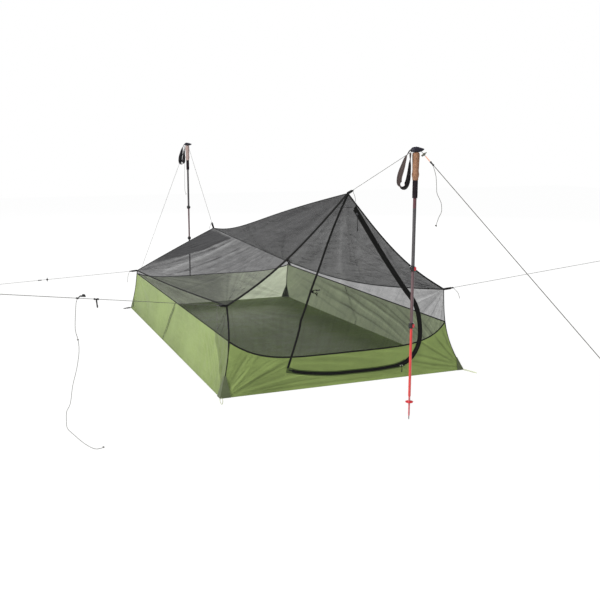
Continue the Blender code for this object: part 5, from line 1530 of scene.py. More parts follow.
def build_side_cloth(make):
    for side, word in SIDES:
        front_low, front_high, rear_low, rear_high = corner_edges(side)
        bottom = between(front_low[0], rear_low[0], 10 * FINE)
        top = between(front_low[-1], rear_low[-1], 10 * FINE)
        wall = Cloth(net_of_points(bottom, top, front_low, rear_low), 0.007, (side, 0, 0.1))
        if side == LEFT:
            crease_left_wall(wall, front_low, rear_low)
        else:
            # Long folds run up and back from the front floor corner, painted as darker and lighter lines
            # (painted shade and light)
            wall.creases((
                    ([(0.50, 0.240), (0.10, 0.220), (-0.37, 0.144), (-0.65, 0.040)], 0.010, 0.16),
                    ([(0.42, 0.215), (0.06, 0.185), (-0.38, 0.105), (-0.62, 0.025)], 0.010, -0.12),
                    ([(0.49, 0.154), (0.05, 0.123), (-0.39, 0.055), (-0.58, 0.012)], 0.010, 0.15),
                    ([(0.02, 0.246), (-0.33, 0.220), (-0.63, 0.156), (-0.78, 0.077)], 0.009, 0.16),
                    ([(-0.05, 0.235), (-0.36, 0.190), (-0.64, 0.120), (-0.76, 0.050)], 0.009, -0.12),
                    ([(-0.25, 0.255), (-0.50, 0.225), (-0.72, 0.155), (-0.88, 0.080)], 0.008, 0.16),
                    ([(-0.60, 0.251), (-0.76, 0.195), (-0.88, 0.111), (-0.98, 0.06)], 0.008, 0.18),
                    ([(-0.74, 0.250), (-0.86, 0.190), (-0.96, 0.115), (-1.05, 0.06)], 0.008, -0.14),
                    ([(-0.86, 0.245), (-0.96, 0.180), (-1.05, 0.100), (-1.11, 0.05)], 0.007, 0.18),
                    ([(-0.96, 0.235), (-1.02, 0.170), (-1.09, 0.100), (-1.14, 0.05)], 0.007, -0.14),
                    ([(0.95, 0.215), (0.50, 0.190), (0.10, 0.130), (-0.10, 0.085)], 0.010, 0.09),
                    ([(0.90, 0.150), (0.60, 0.120), (0.30, 0.070), (0.15, 0.040)], 0.010, 0.10)), 0.004,
                    (1, 2), taper=0.4, shade_and_density_scale=2.5)
            wall.waves(24, 0.22, 65, 25, 0.0020, shade=0.03)
        wall.done(word + "_wall_cloth", make[word + "_wall"], "shelter", "green_nylon", "stretched",
                  word + "_wall", ["floor_cloth"], margin=0.025)
        net = Cloth(net_of_points(top, eave_edge(side), front_high, rear_high), 0.007, (side, 0, 0.1))
        net.waves(25 + side, 0.07, 55, 30, 0.0010, shade=0.015)
        net.fan(rear_high[0], front_high[-1], [(3, 1.5, 0.003), (-3, 1.5, -0.003)], 0.9, shade=12)
        net.rays(27, front_high[-1], top[10], (-40, 50), 16, 0.55, 0.003, 22, width=1.6)
        net.rays(28, rear_high[-1], front_high[0], (-14, 30), 14, 1.3, 0.003, 20, width=0.9)
        net.done(word + "_side_net", make[word + "_side"], "shelter", "netting", "stretched",
                 word + "_wall_netting", [word + "_wall_cloth"], margin=0.02)


def build_rear_cloth(make):
    left_low, left_high = corner_edges(LEFT)[2:]
    right_low, right_high = corner_edges(RIGHT)[2:]
    bottom = between(left_low[0], right_low[0], 12 * FINE)
    top = rear_top_edge()
    wall = Cloth(net_of_points(bottom, top, left_low, right_low), 0.007, (0, 1, 0))
    # Folds from the corners, with painted shade and light along them
    wall.fan(right_low[0], left_low[-1], [(14, 1.6, 0.005), (8, 1.3, -0.005), (2, 1.6, 0.005),
                                          (-5, 2, -0.004), (-12, 2, 0.004)], 0.8, shade=26)
    wall.fan(left_low[-1], right_low[0], [(-10, 2.5, 0.005), (-3, 2, -0.005), (6, 2.4, 0.005)], 0.9, shade=26)
    wall.rays(33, left_low[-1], right_low[0], (-16, 24), 16, 0.8, 0.003, 40, width=0.8)
    wall.waves(31, 0.20, 80, 25, 0.0015, shade=0.03)
    # Painted shade: the left part of the rear wall is darker
    wall.painted_shade_and_density += 0.54 * smooth(-wall.base[..., 0], -0.26, 0.02)
    wall.done("rear_wall_cloth", make["rear_wall"], "shelter", "green_nylon", "stretched", "rear_wall",
              ["floor_cloth"], margin=0.025)
    hips = rear_hip_edge(LEFT)[::-1] + rear_hip_edge(RIGHT)[1:]
    net = Cloth(net_of_points(top, hips, left_high, right_high), 0.009, (0, 1, 0))
    net.waves(32, 0.09, 15, 25, 0.0012, shade=0.02)
    net.rays(34, left_high[-1], right_high[0], (-12, 26), 12, 0.9, 0.003, 16, width=1.1)
    net.done("rear_net_cloth", make["rear_net"], "shelter", "netting", "stretched", "rear_netting",
             ["rear_wall_cloth"], margin=0.02)


def crease_left_roof(net):
    """Bands where the net is made thicker and so darker, from the ridge towards the rear left corner."""
    x, y = net.base[..., 0], net.base[..., 1]
    edge = np.interp(-x, (0.0, 0.113, 0.174, 0.230, 0.296, 0.370, 0.452, 0.523, 0.60),
                     (1.127, 0.369, 0.531, 0.583, 0.730, 0.861, 0.974, 1.049, 1.10))
    depth = 0.27 * smooth(-x, 0.60, 0.34)
    net.painted_shade_and_density += depth * smooth(y - edge, -0.012, 0.014) * smooth(-x, 0.0, 0.05)
    net.creases((
            ([(-0.125, 0.34), (-0.174, 0.46), (-0.240, 0.56), (-0.300, 0.69), (-0.380, 0.80),
              (-0.47, 0.91)], 0.012, -0.13),
            ([(-0.140, 0.29), (-0.205, 0.42), (-0.258, 0.55), (-0.315, 0.67), (-0.405, 0.76),
              (-0.49, 0.87)], 0.008, 0.13),
            ([(-0.150, 0.16), (-0.219, 0.275), (-0.297, 0.359), (-0.366, 0.479), (-0.448, 0.564),
              (-0.508, 0.64)],
             0.044, -0.22),
            ([(-0.203, -0.156), (-0.252, -0.091), (-0.311, 0.029), (-0.359, 0.153), (-0.426, 0.266),
              (-0.498, 0.372), (-0.546, 0.45)], 0.009, 0.21),
            ([(-0.24, -0.22), (-0.285, -0.13), (-0.340, -0.03), (-0.395, 0.10), (-0.46, 0.22),
              (-0.52, 0.32)], 0.014, -0.10),
            ([(-0.232, -0.344), (-0.272, -0.244), (-0.327, -0.161), (-0.387, -0.05), (-0.45, 0.08)], 0.008,
             0.10),
            ([(-0.28, -0.42), (-0.33, -0.33), (-0.38, -0.22), (-0.44, -0.10)], 0.008, -0.06),
            ([(-0.27, -0.60), (-0.33, -0.50), (-0.39, -0.38), (-0.45, -0.22)], 0.010, 0.08)), 0.003,
            shade_and_density_scale=1.25)
    low = smooth(-x, 0.30, 0.46) * smooth(y, -0.5, 0.2) * smooth(-y, -1.05, -0.7)
    net.painted_shade_and_density -= 0.05 * low


def build_roof_cloth(make):
    lows = {LEFT: DOOR_TOP_HEIGHT, RIGHT: RIGHT_NETTING_TOP}
    for side, word in SIDES:
        top = spread(ridge, 0, 1, 10 * FINE)
        front = whole_front_hip(side, lows[side])[::-1]
        rear = matched(rear_hip_edge(side)[::-1], len(front))
        net = Cloth(net_of_points(eave_edge(side), top, front, rear), 0.008 if side == LEFT else 0.011,
                    (side * 0.5, 0, 1))
        rows, columns = net.places.shape[:2]
        hollow = np.outer(np.sin(np.linspace(0, math.pi, rows)), np.sin(np.linspace(0, math.pi, columns)))
        sag = np.array((-side * ROOF_SAG * 0.4, 0, -ROOF_SAG))
        net.base = net.base + hollow[..., None] * sag
        rear_corner_place = rear_corner(side, REAR_EAVE_HEIGHT)
        if side == LEFT:
            crease_left_roof(net)
        net.rays(43 + side, rear_corner_place, ridge(0.25), (-24, 20), 22, 2.2, 0.0035, 14, width=0.55)
        net.rays(47 + side, ridge(0), rear_corner_place, (-22, 26), 22, 1.9, 0.0035, 17, width=0.7)
        front_corner_place = front_corner(side, FRONT_EAVE_HEIGHT)
        net.rays(51 + side, front_corner_place, ridge(0.4), (-35, 30), 16, 0.9, 0.0035, 14, width=1.1)
        net.waves(41 + side, 0.075, 48 if side == LEFT else 60, 16, 0.0011, shade=0.008)
        net.done(word + "_roof_cloth", make[word + "_roof"], "shelter", "netting", "stretched",
                 word + "_roof_netting", ["body_bindings"], margin=0.03)


def crease_front_wall(wall, left_foot):
    """Folds that the two staked corners pull into the wall, painted as darker and lighter lines, and painted
    shade towards the left end.
    """
    wall.creases((
            ([(-0.645, 0.020), (-0.559, 0.104), (-0.495, 0.182)], 0.010, -0.14),
            ([(-0.655, 0.030), (-0.590, 0.120), (-0.540, 0.190)], 0.009, 0.10),
            ([(-0.630, 0.018), (-0.473, 0.106), (-0.368, 0.157)], 0.012, -0.15),
            ([(-0.620, 0.016), (-0.50, 0.075), (-0.36, 0.130)], 0.010, 0.11),
            ([(-0.600, 0.012), (-0.327, 0.061), (-0.090, 0.092)], 0.011, -0.13),
            ([(-0.600, 0.008), (-0.300, 0.036), (0.00, 0.050)], 0.009, 0.08),
            ([(-0.580, 0.004), (-0.329, 0.013), (0.20, 0.016)], 0.010, 0.13),
            ([(0.400, 0.178), (0.437, 0.168), (0.541, 0.103), (0.650, 0.040)], 0.007, 0.30),
            ([(0.425, 0.190), (0.50, 0.140), (0.60, 0.078)], 0.008, -0.10),
            ([(0.520, 0.200), (0.589, 0.124), (0.660, 0.045)], 0.007, 0.26),
            ([(0.577, 0.227), (0.618, 0.137), (0.668, 0.050)], 0.007, 0.24),
            ([(0.600, 0.215), (0.635, 0.130), (0.672, 0.055)], 0.006, -0.10),
            ([(0.374, 0.078), (0.517, 0.041), (0.662, 0.016)], 0.008, 0.28),
            ([(0.360, 0.060), (0.500, 0.022), (0.640, 0.006)], 0.009, 0.12),
            ([(0.378, 0.120), (0.50, 0.080), (0.645, 0.033)], 0.007, 0.24),
            ([(0.385, 0.100), (0.51, 0.062), (0.64, 0.025)], 0.008, -0.08)), 0.0035, (0, 2), wider=0.75,
            shade_and_density_scale=1.25)
    wall.rays(56, left_foot, left_foot + Vector((1, 0, 0.3)), (-16, 44), 16, 0.75, 0.002, 30, width=1.2)
    # Painted shade: darker towards the left end
    wall.painted_shade_and_density += 0.22 * smooth(-wall.base[..., 0], 0.20, 0.42)


def build_front_cloth(make):
    frame_zip, left_top, right_top = front_edges()
    door_zip = zip_line(-ZIP_HALF_GAP)
    turn, level = zip_splits(frame_zip)
    crossing = hinge_crossing()
    left_low, left_high = corner_edges(LEFT)[:2]
    right_low, right_high = corner_edges(RIGHT)[:2]
    hinge_down = spread(hinge, crossing, HINGE_FOOT_HEIGHT, 2)[1:-1]
    top = left_top + hinge_down + frame_zip[:level] + right_top
    feet = feet_below(left_top, hinge_down, frame_zip[:level], right_top)
    wall = Cloth(net_of_points(feet, top, left_low, right_low), 0.006, (0, -1, 0))
    crease_front_wall(wall, left_low[0])
    wall.waves(51, 0.16, 60, 30, 0.0018, shade=0.02)
    wall.done("front_wall_cloth", make["front_wall"], "shelter", "green_nylon", "stretched", "front_wall",
              ["floor_cloth"], margin=0.02)

    side = left_high + front_hip_edge(LEFT, DOOR_TOP_HEIGHT)[::-1][1:]
    seam = spread(hinge, crossing, DOOR_TOP_HEIGHT, len(side) - 1)
    head = between(side[-1], seam[-1], 6 * FINE)
    net = Cloth(net_of_points(left_top, head, side, seam), 0.009, (0, -1, 0))
    net.waves(52, 0.06, 8, 14, 0.0012, shade=0.01)
    net.rays(57, left_high[-1], left_top[-1], (-20, 50), 12, 0.7, 0.003, 12, width=1.3)
    corner = left_high[-1]
    for drop, reach, amount in ((-0.10, 0.50, 0.07), (-0.20, 0.44, 0.10), (-0.32, 0.40, 0.07),
                                (-0.46, 0.34, 0.10), (-0.65, 0.26, 0.07), (0.12, 0.46, 0.07)):
        net.streak([(corner.x + 0.02, corner.z + 0.02 * drop), (corner.x + reach, corner.z + reach * drop)],
                   0.006, amount, 0.002, axes=(0, 2), taper=0.6)
    net.done("front_left_net_cloth", make["front_net"], "shelter", "netting", "stretched",
             "front_netting_left", ["front_wall_cloth"], margin=0.02)

    zip_end = nearest_index(frame_zip, lambda p: abs(p.z - RIGHT_NETTING_TOP))
    side = right_high + front_hip_edge(RIGHT, RIGHT_NETTING_TOP)[::-1][1:]
    edge = matched(frame_zip[level:zip_end + 1], len(side))
    side = matched(side, len(edge))
    head = between(edge[-1], side[-1], 5 * FINE)
    net = Cloth(net_of_points(right_top, head, edge, side), 0.007, (0, -1, 0))
    net.waves(53, 0.07, -30, 14, 0.0012, shade=0.01)
    corner = right_high[-1]
    net.rays(58, corner, corner + Vector((-1, 0, -0.75)), (-42, 40), 22, 0.36, 0.004, 30, width=1.5)
    for start, end in (((0.16, 0.77), (0.26, 0.60)), ((0.20, 0.70), (0.31, 0.53)),
                       ((0.26, 0.62), (0.38, 0.48)), ((0.33, 0.55), (0.47, 0.45)),
                       ((0.12, 0.82), (0.19, 0.68)), ((0.40, 0.50), (0.52, 0.43))):
        net.streak([start, end], 0.006, 0.12, 0.002, axes=(0, 2), taper=0.4)
    net.done("front_right_net_cloth", make["front_net"], "shelter", "netting", "stretched",
             "front_netting_right", ["front_wall_cloth"], margin=0.02)

    mid = spread(front_top, hinge(crossing).x, door_zip[level].x, turn)
    mid[0] = hinge(crossing)
    mid[-1] = door_zip[level]
    foot = HINGE_FOOT_HEIGHT + ZIP_HALF_GAP
    bottom = [hinge(foot)] + door_zip[1:turn + 1]
    left = spread(hinge, foot, crossing, level - turn)
    cloth = Cloth(net_of_points(bottom, mid, left, door_zip[turn:level + 1]), 0.006, (0, -1, 0))
    cloth.waves(54, 0.15, 75, 20, 0.0014, shade=0.02)
    # Folds across the door's foot, painted as darker and lighter lines
    cloth.creases((
            ([(-0.30, 0.170), (-0.05, 0.150), (0.20, 0.112)], 0.007, -0.13),
            ([(-0.31, 0.150), (-0.08, 0.128), (0.15, 0.098)], 0.008, 0.10),
            ([(-0.20, 0.182), (0.08, 0.166), (0.34, 0.130)], 0.006, -0.12),
            ([(-0.10, 0.185), (0.12, 0.176), (0.36, 0.150)], 0.007, 0.09),
            ([(-0.30, 0.130), (-0.12, 0.112), (0.02, 0.095)], 0.007, -0.08)), 0.002, (0, 2))
    cloth.done("door_cloth", make["door"], "door", "green_nylon", "stretched", "door_panel", [], margin=0.02,
               turning=door_turning())
    right = door_zip[level:]
    left = spread(hinge, crossing, DOOR_TOP_HEIGHT, len(right) - 1)
    head = between(left[-1], right[-1], turn)
    net = Cloth(net_of_points(mid, head, left, right), 0.010, (0, -1, 0))
    net.waves(55, 0.085, 6, 10, 0.0014, shade=0.01)
    net.fan(hinge(DOOR_TOP_HEIGHT), mid[len(mid) // 2], [(-8, 3, 0.004), (0, 3, -0.004), (9, 3, 0.004)], 0.7,
            shade=10)
    net.done("door_net_cloth", make["front_net"], "door", "netting", "stretched", "door_netting",
             ["door_cloth"], margin=0.02, turning=door_turning())


def build_peak_patch(make):
    rows = []
    for share in np.linspace(0, 1, 9):
        z = mix(DOOR_TOP_HEIGHT + PANEL_INSET * 1.1, FRONT_PEAK_HEIGHT - 0.006, share)
        left = front_hip(LEFT, hip_share(LEFT, z))
        right = front_hip(RIGHT, hip_share(RIGHT, z))
        rows.append([left.lerp(right, t / 10) for t in range(11)])
    patch = Cloth(rows, 0.006, (0, -1, 0))
    patch.waves(61, 0.05, 10, 20, 0.0006)
    patch.done("front_peak_cloth", make["peak_net"], "shelter", "green_nylon", "stretched",
               "front_peak_patch", ["body_bindings"], margin=0.01)


# Tapes, zip and tie-outs

def build_bindings(make):
    """Bound seams of the shelter's body, sewn through on both sides."""
    frame_zip, left_top, right_top = front_edges()
    lows = {LEFT: DOOR_TOP_HEIGHT, RIGHT: RIGHT_NETTING_TOP}
    mould = Mould()
    out = tuple(front_out())
    tape(mould, spread(ridge, 0, 1, 60), *BINDINGS["ridge"], (0, 0, 1))
    for side, word in SIDES:
        front_low, front_high, rear_low, rear_high = corner_edges(side)
        tape(mould, eave_edge(side), *BINDINGS["eave"], (side * 0.75, 0, 0.66))
        tape(mould, whole_front_hip(side, lows[side]), *BINDINGS["front_hip"], (side * 0.5, -0.7, 0.5))
        tape(mould, rear_hip_edge(side), *BINDINGS["rear_hip"], (side * 0.4, 0.7, 0.6))
        corner = shorten(front_low + front_high[1:], CORNER_PATCH_HEIGHT * (0.86 if side == LEFT else 0.5), 0)
        level = as_array(corner)[:, 2]
        tape(mould, corner, 0.0040 + 0.0062 * smooth(level, 0.20, 0.27), 0.0036, (side, -0.9, 0.1))
        tape(mould, shorten(rear_low + rear_high[1:], WALL_SEAM_START, 0), *BINDINGS["rear_corner"],
             (side, 0.9, 0.1))
        top = between(front_low[-1], rear_low[-1], 40)
        tape(mould, top, *BINDINGS["side_top_" + word], (side, 0, 0.12))
    tape(mould, rear_top_edge(), *BINDINGS["rear_top"], (0, 1, 0.1))
    tape(mould, left_top, *BINDINGS["front_top_left"], out)
    tape(mould, right_top, *BINDINGS["front_top_right"], out)
    route = spread(hinge, HINGE_FOOT_HEIGHT + 0.004, DOOR_TOP_HEIGHT, 60)
    route += [route[-1].lerp(ridge(0) + Vector((0, -0.002, -0.004)), t / 6) for t in range(1, 7)]
    tape(mould, route, *BINDINGS["door_seam"], out)
    head = [front_hip(side, hip_share(side, DOOR_TOP_HEIGHT)) for side in (LEFT, RIGHT)]
    tape(mould, [head[0].lerp(head[1], t / 8) for t in range(9)], *BINDINGS["door_head"], out)
    mould.done("body_bindings", make["tape"], "shelter", "black_webbing", node="seam_bindings")

    door_zip = zip_line(-ZIP_HALF_GAP)
    turn, level = zip_splits(frame_zip)
    mid = spread(front_top, hinge(hinge_crossing()).x, door_zip[level].x, turn)
    mould = Mould()
    tape(mould, shorten(mid, 0.006, 0.003), *BINDINGS["door_top"], out)
    mould.done("door_wall_binding", make["tape"], door_turning(), "black_webbing", node="door_bindings")
    build_zip(make, frame_zip, door_zip)


def zip_width(route):
    """The lower stretch shows half its tape, the right side all of it."""
    route = as_array(route)
    share = smooth(route[:, 0], 0.24, 0.36)
    top = smooth(route[:, 2], 0.12, 0.18)
    return 0.0055 + 0.0065 * np.maximum(share, top)


def build_zip(make, frame_zip, door_zip):
    normal = front_out()
    middle = as_array(zip_line(0))
    for name, route, sign, body in (("frame_zip_tape", frame_zip, 1, "shelter"),
                                    ("door_zip_tape", door_zip, -1, "door")):
        mould = Mould()
        points = as_array(smooth_route(shorten(route, 0.006, 0.010 if sign < 0 else 0.001)[::2], 4))
        across = ring_frames(points, tuple(normal))[1]
        width = zip_width(points)
        toward = np.array([middle[np.linalg.norm(middle - p, axis=1).argmin()] for p in points]) - points
        sense = np.sign((across * toward).sum(axis=1))[:, None]
        centre = points + across * -sense * (width[:, None] * 0.5 - 0.0004)
        tape(mould, centre, width, ZIP_TAPE_THICKNESS, tuple(normal), ZIP_LIFT)
        low = int(np.argmax(points[:, 0] > 0.33)) or len(points)
        edge = points - across * sense * (width[:, None] + 0.0022)
        tape(mould, edge[:low], ZIP_EDGE_WIDTH, ZIP_EDGE_THICKNESS, tuple(normal), ZIP_LIFT - 0.0003, slot=1)
        teeth = points + across * sense * 0.0009
        turns = running(teeth)
        count = int(turns[-1] / COIL_PITCH)
        marks = np.linspace(0, turns[-1], count)
        coil = np.stack([np.interp(marks, turns, teeth[:, i]) for i in range(3)], axis=1)
        radius = COIL_RADIUS + COIL_WAVE * np.sin(np.arange(count) * math.pi + 0.5 * math.pi)
        coil = coil + np.array(tuple(normal)) * (ZIP_LIFT + 0.0012)
        mould_coil = Mould()
        round_bar(mould_coil, coil, radius, 8, face=tuple(normal))
        mould_coil.done(name.replace("tape", "teeth"), make["coil"], body, "black_webbing", sharp=70)
        if sign > 0:
            tape(mould, shorten(zip_line(0), 0.006, 0.004), 0.0085, 0.0008, tuple(normal), 0.0006)
            foot = hinge(HINGE_FOOT_HEIGHT) + Vector((-0.006, -0.001, -0.004))
            tape(mould, [foot, foot + Vector((0.030, 0.0, -0.006))], 0.024, 0.0020, tuple(normal), ZIP_LIFT,
                 slot=1)
        mould.done(name, [make["zip_tape"], make["olive_tape"]], body, "black_webbing")


def build_wall_seams(make):
    """A thin crooked seam down the middle of each side wall."""
    for side, word in SIDES:
        front_low, _, rear_low, _ = corner_edges(side)
        marks = {LEFT: ((0.985, -0.062), (0.93, -0.05), (0.62, 0.015), (0.30, 0.065), (0.012, 0.115)),
                 RIGHT: ((0.985, 0.083), (0.88, 0.073), (0.55, 0.036), (0.28, 0.012), (0.16, 0.000),
                         (0.10, 0.022), (0.012, 0.040))}[side]
        route = []
        for t, y in marks:
            share = (y - mix(front_low[0].y, front_low[-1].y, t)) / (
                mix(rear_low[0].y, rear_low[-1].y, t) - mix(front_low[0].y, front_low[-1].y, t))
            near = front_low[0].lerp(front_low[-1], t)
            point = near.lerp(rear_low[0].lerp(rear_low[-1], t), share)
            point.x += side * 0.0016
            route.append(point)
        mould = Mould()
        route = smooth_route(route, 8)
        tape(mould, route, 0.0040, 0.0020, (side, 0, 0.1))
        tape(mould, [point - Vector((side * 0.0075, 0, 0)) for point in route], 0.0036, 0.0020,
             (-side, 0, -0.1))
        mould.done(word + "_wall_seam", make["seam"], "shelter", "green_nylon")


def build_corner_patches(make):
    """Reinforcement sewn over the floor corners, a triangle on both walls that meet there."""
    for corner, end, depth in ((front_corner, -1, "front"), (rear_corner, 1, "rear")):
        for side, word in SIDES:
            mould = Mould()
            high = CORNER_PATCH_HEIGHT * (0.60 if (side, end) == (RIGHT, -1) else 0.92 if end < 0 else 1.0)
            wide = CORNER_PATCH_REACH * (0.62 if (side, end) == (RIGHT, -1) else 0.86)
            proud = CORNER_PATCH_PROUD[depth]
            for direction in (Vector((-side, 0, 0)), Vector((0, -end, 0))):
                rows = []
                for t in np.linspace(0.0, 1.0, 14):
                    z = WALL_FOOT + 0.001 + (high - WALL_FOOT) * t
                    seam = corner(side, z)
                    reach = wide * (1 - t) + 0.002
                    row = []
                    for s in np.linspace(0, 1, 8):
                        point = seam + direction * (reach * s)
                        aside = proud * (1.6 if (side, end) == (LEFT, -1) else 1.0)
                        if direction.x:
                            point.x += side * aside * (s == 0)
                            point.y = (front_y(point.x, z) if end < 0 else rear_y(point.x, z)) + end * proud
                        else:
                            near, far = front_corner(side, z), rear_corner(side, z)
                            point.x = near.lerp(far, (point.y - near.y) / (far.y - near.y)).x + side * aside
                            point.y += end * proud * (s == 0)
                        row.append(tuple(point))
                    rows.append(row)
                places = np.array(rows)
                marks = np.stack(np.broadcast_arrays(np.linspace(0, 0.055, 8)[None],
                                                     np.linspace(0, 0.11, 14)[:, None]), axis=-1)
                mould.grid(places, marks)
            mould.done(depth + "_" + word + "_corner_patch", make["patch"], "shelter", "green_nylon")


def build_tie_outs(make):
    """Folded webbing tab with a ladder lock at each eave corner and peak."""
    for name, (place, along) in tie_points().items():
        axes = axes_of(along)
        mould = Mould()
        start, end = place + along * TAB_START, place + along * (TAB_START + TAB_LENGTH)
        up = Vector(tuple(axes[2]))
        route = [start.lerp(end, t) + up * TAB_RISE * (1 - 0.3 * t) for t in np.linspace(0, 1, 9)]
        route += [end + along * 0.0014, end - up * 0.0014]
        route += [end.lerp(start, t) - up * TAB_RISE * (1 - 0.3 * t) for t in np.linspace(0.1, 1, 9)]
        tape(mould, route, TAB_WIDTH * 0.98, TAB_WEBBING, tuple(up))
        mould.done(name + "_tab", make["webbing"], "shelter", "black_webbing")
        mould = Mould()
        lock = TAB_START + TAB_LENGTH - TAB_OVERLAP
        half = LOCK_WIDTH / 2
        side = Vector(tuple(axes[1]))
        for offset in (-half + 0.0016, half - 0.0016):
            block(mould, (LOCK_LENGTH, 0.0032, 0.0064),
                  place + along * (lock + LOCK_LENGTH / 2) + side * offset, axes, 0.0012)
        for reach, thick in ((0.0016, 0.0044), (0.0095, 0.0040), (LOCK_LENGTH - 0.0018, 0.0050)):
            block(mould, (0.0040, LOCK_WIDTH - 0.001, thick), place + along * (lock + reach), axes, 0.0010)
        mould.done(name + "_lock", make["plastic"], "shelter", "black_plastic")


def build_stake_cords(make):
    """Cord loop at each floor corner, black at the rear."""
    for corner, depth in ((front_corner, "front"), (rear_corner, "rear")):
        for side, word in SIDES:
            low = corner(side, 0.0)
            out = (STAKE_AIMS[depth] * Vector((side, 1, 0))).normalized()
            across = Vector((-out.y, out.x, 0))
            start = low + out * SEAM_RADIUS * (abs(out.x) + abs(out.y)) * STAKE_ROOTS[depth]
            loop = []
            for index in range(49):
                turn = math.tau * index / 48
                reach = STAKE_LOOP_LENGTH * (0.62 if depth == "rear" else 1.0) * (1 - math.cos(turn)) / 2
                aside = STAKE_LOOP_WIDTH / 2 * math.sin(turn) * (1 - 0.35 * math.sin(turn / 2) ** 2)
                aside = (aside * (0.55 if depth == "front" else 1.0)
                         + STAKE_CORD_RADIUS * 1.15 * math.cos(turn / 2))
                point = start + out * reach + across * aside
                point.z = STAKE_CORD_RADIUS + GAP
                loop.append(point)
            mould = Mould()
            round_bar(mould, loop, STAKE_CORD_RADIUS * (1.0 if depth == "front" else 1.15), 10)
            if depth == "rear":
                axes = axes_of(out)
                block(mould, (0.030, 0.013, 0.0034), start + out * 0.018 + Vector((0, 0, 0.004)), axes,
                      0.0010)
            finish = make["pale_line"] if depth == "front" else make["webbing"]
            mould.done(depth + "_" + word + "_stake_cord", finish, "shelter", "guy_line",
                       node=depth + "_" + word + "_stake_loop")


# Zip sliders and toggle

def build_sliders(make):
    lengths = {"bottom": BOTTOM_PULL_LENGTH, "top": TOP_PULL_LENGTH}
    for word, (start, end) in zip(("bottom", "top"), slider_paths()):
        place = slider_place(start)
        along = (end - start).normalized()
        normal = front_normal()
        axes = axes_of(along, normal)
        mould = Mould()
        block(mould, (SLIDER_LENGTH, SLIDER_WIDTH, SLIDER_THICKNESS * 0.55),
              place - normal * SLIDER_THICKNESS * 0.18, axes, 0.0012)
        block(mould, (SLIDER_LENGTH * 0.62, SLIDER_WIDTH * 0.42, SLIDER_THICKNESS * 0.5),
              place + normal * SLIDER_THICKNESS * 0.24, axes, 0.0012)
        if word == "bottom":
            for shift in (-0.42, 0.42):
                block(mould, (0.0040, SLIDER_WIDTH * 0.55, SLIDER_THICKNESS * 0.7),
                      place + along * SLIDER_LENGTH * shift, axes, 0.0010, 1)
        mould.done(word + "_slider_body", [make["metal"], make["pale_line"]], word + "_slider",
                   "dark_metal", node=word + "_zip_slider")
        hang = place + Vector((0, -(SLIDER_THICKNESS / 2 + GAP + PULL_RADIUS * 1.2), 0))
        long = lengths[word]
        mould = Mould()
        route = smooth_route([hang, hang + Vector((0.0006, -0.0018, -long * 0.3)),
                              hang + Vector((0.0012, -0.0020, -long * 0.7)),
                              hang + Vector((0.0012, -0.0010, -long + 0.004))], 6)
        round_bar(mould, route, PULL_RADIUS * (1.45 if word == "bottom" else 1.1), 10)
        mould.done(word + "_pull_cord", make["webbing"], word + "_pull", "black_webbing",
                   node=word + "_zip_pull")
        mould = Mould()
        tip = route[-1]
        tall = 0.012 if word == "bottom" else 0.018
        round_bar(mould, [tip + Vector((0, 0, z)) for z in (tall, tall * 0.7, tall * 0.2, -0.002, -0.004)],
                  [0.0015, 0.0024, 0.0030, 0.0026, 0.0014], 12)
        mould.done(word + "_pull_end", make["plastic"], word + "_pull", "black_plastic")


def build_toggle(make):
    """Bar toggle and elastic loop on the door, half way up its seam."""
    spot = straight_hinge(TOGGLE_HEIGHT) + Vector((TOGGLE_LENGTH / 2 + TOGGLE_RADIUS * 1.7, 0, 0))
    spot += front_normal() * (TOGGLE_RADIUS + SHEET_THICKNESS / 2 + GAP * 1.8)
    half = TOGGLE_LENGTH / 2
    mould = Mould()
    shares = np.linspace(-1, 1, 13)
    route = [spot + Vector((half * s, 0, half * 0.10 * s)) for s in shares]
    radius = TOGGLE_RADIUS * (0.70 + 0.30 * np.abs(shares) ** 0.6) * np.where(np.abs(shares) > 0.99, 0.7, 1.0)
    round_bar(mould, route, radius, 14)
    mould.done("door_toggle_bar", make["plastic"], "toggle", "black_plastic", node="door_toggle")
    seam = hinge(TOGGLE_HEIGHT - 0.004) + front_out() * 0.0035
    mould = Mould()
    for route in (((0.0, 0.0), (0.010, 0.0040), (0.022, 0.0058), (0.034, 0.0066)),
                  ((0.0, -0.002), (0.012, -0.0075), (0.024, -0.0105), (0.031, -0.0195), (0.033, -0.026)),
                  ((0.024, -0.0105), (0.032, -0.0085), (0.035, -0.0130), (0.032, -0.0195))):
        points = smooth_route([seam + Vector((x, 0, z)) for x, z in route], 6)
        round_bar(mould, points, 0.0019, 8)
    block(mould, (0.010, 0.016, 0.003), seam + Vector((0.006, 0, 0)),
          axes_of((0, 0, 1), tuple(front_out())), 0.0008)
    mould.done("toggle_loops", make["webbing"], door_turning(), "black_webbing")


# Poles: the front one has a cork grip and red parts, the rear one a taupe grip and dark tubes
POLE_LOOKS = {
    "front": {"grip": "cork", "upper": "shaft", "middle": "plum", "lower": "red", "tip": "pink",
              "basket": "red_plastic", "lever": "red_plastic", "strap": "strap", "lining": "strap_lining"},
    "rear": {"grip": "taupe", "upper": "shaft", "middle": "plum", "lower": "shaft", "tip": "rubber",
             "basket": "rubber", "lever": "plastic", "strap": "grey_strap", "lining": "grey_strap"},
}


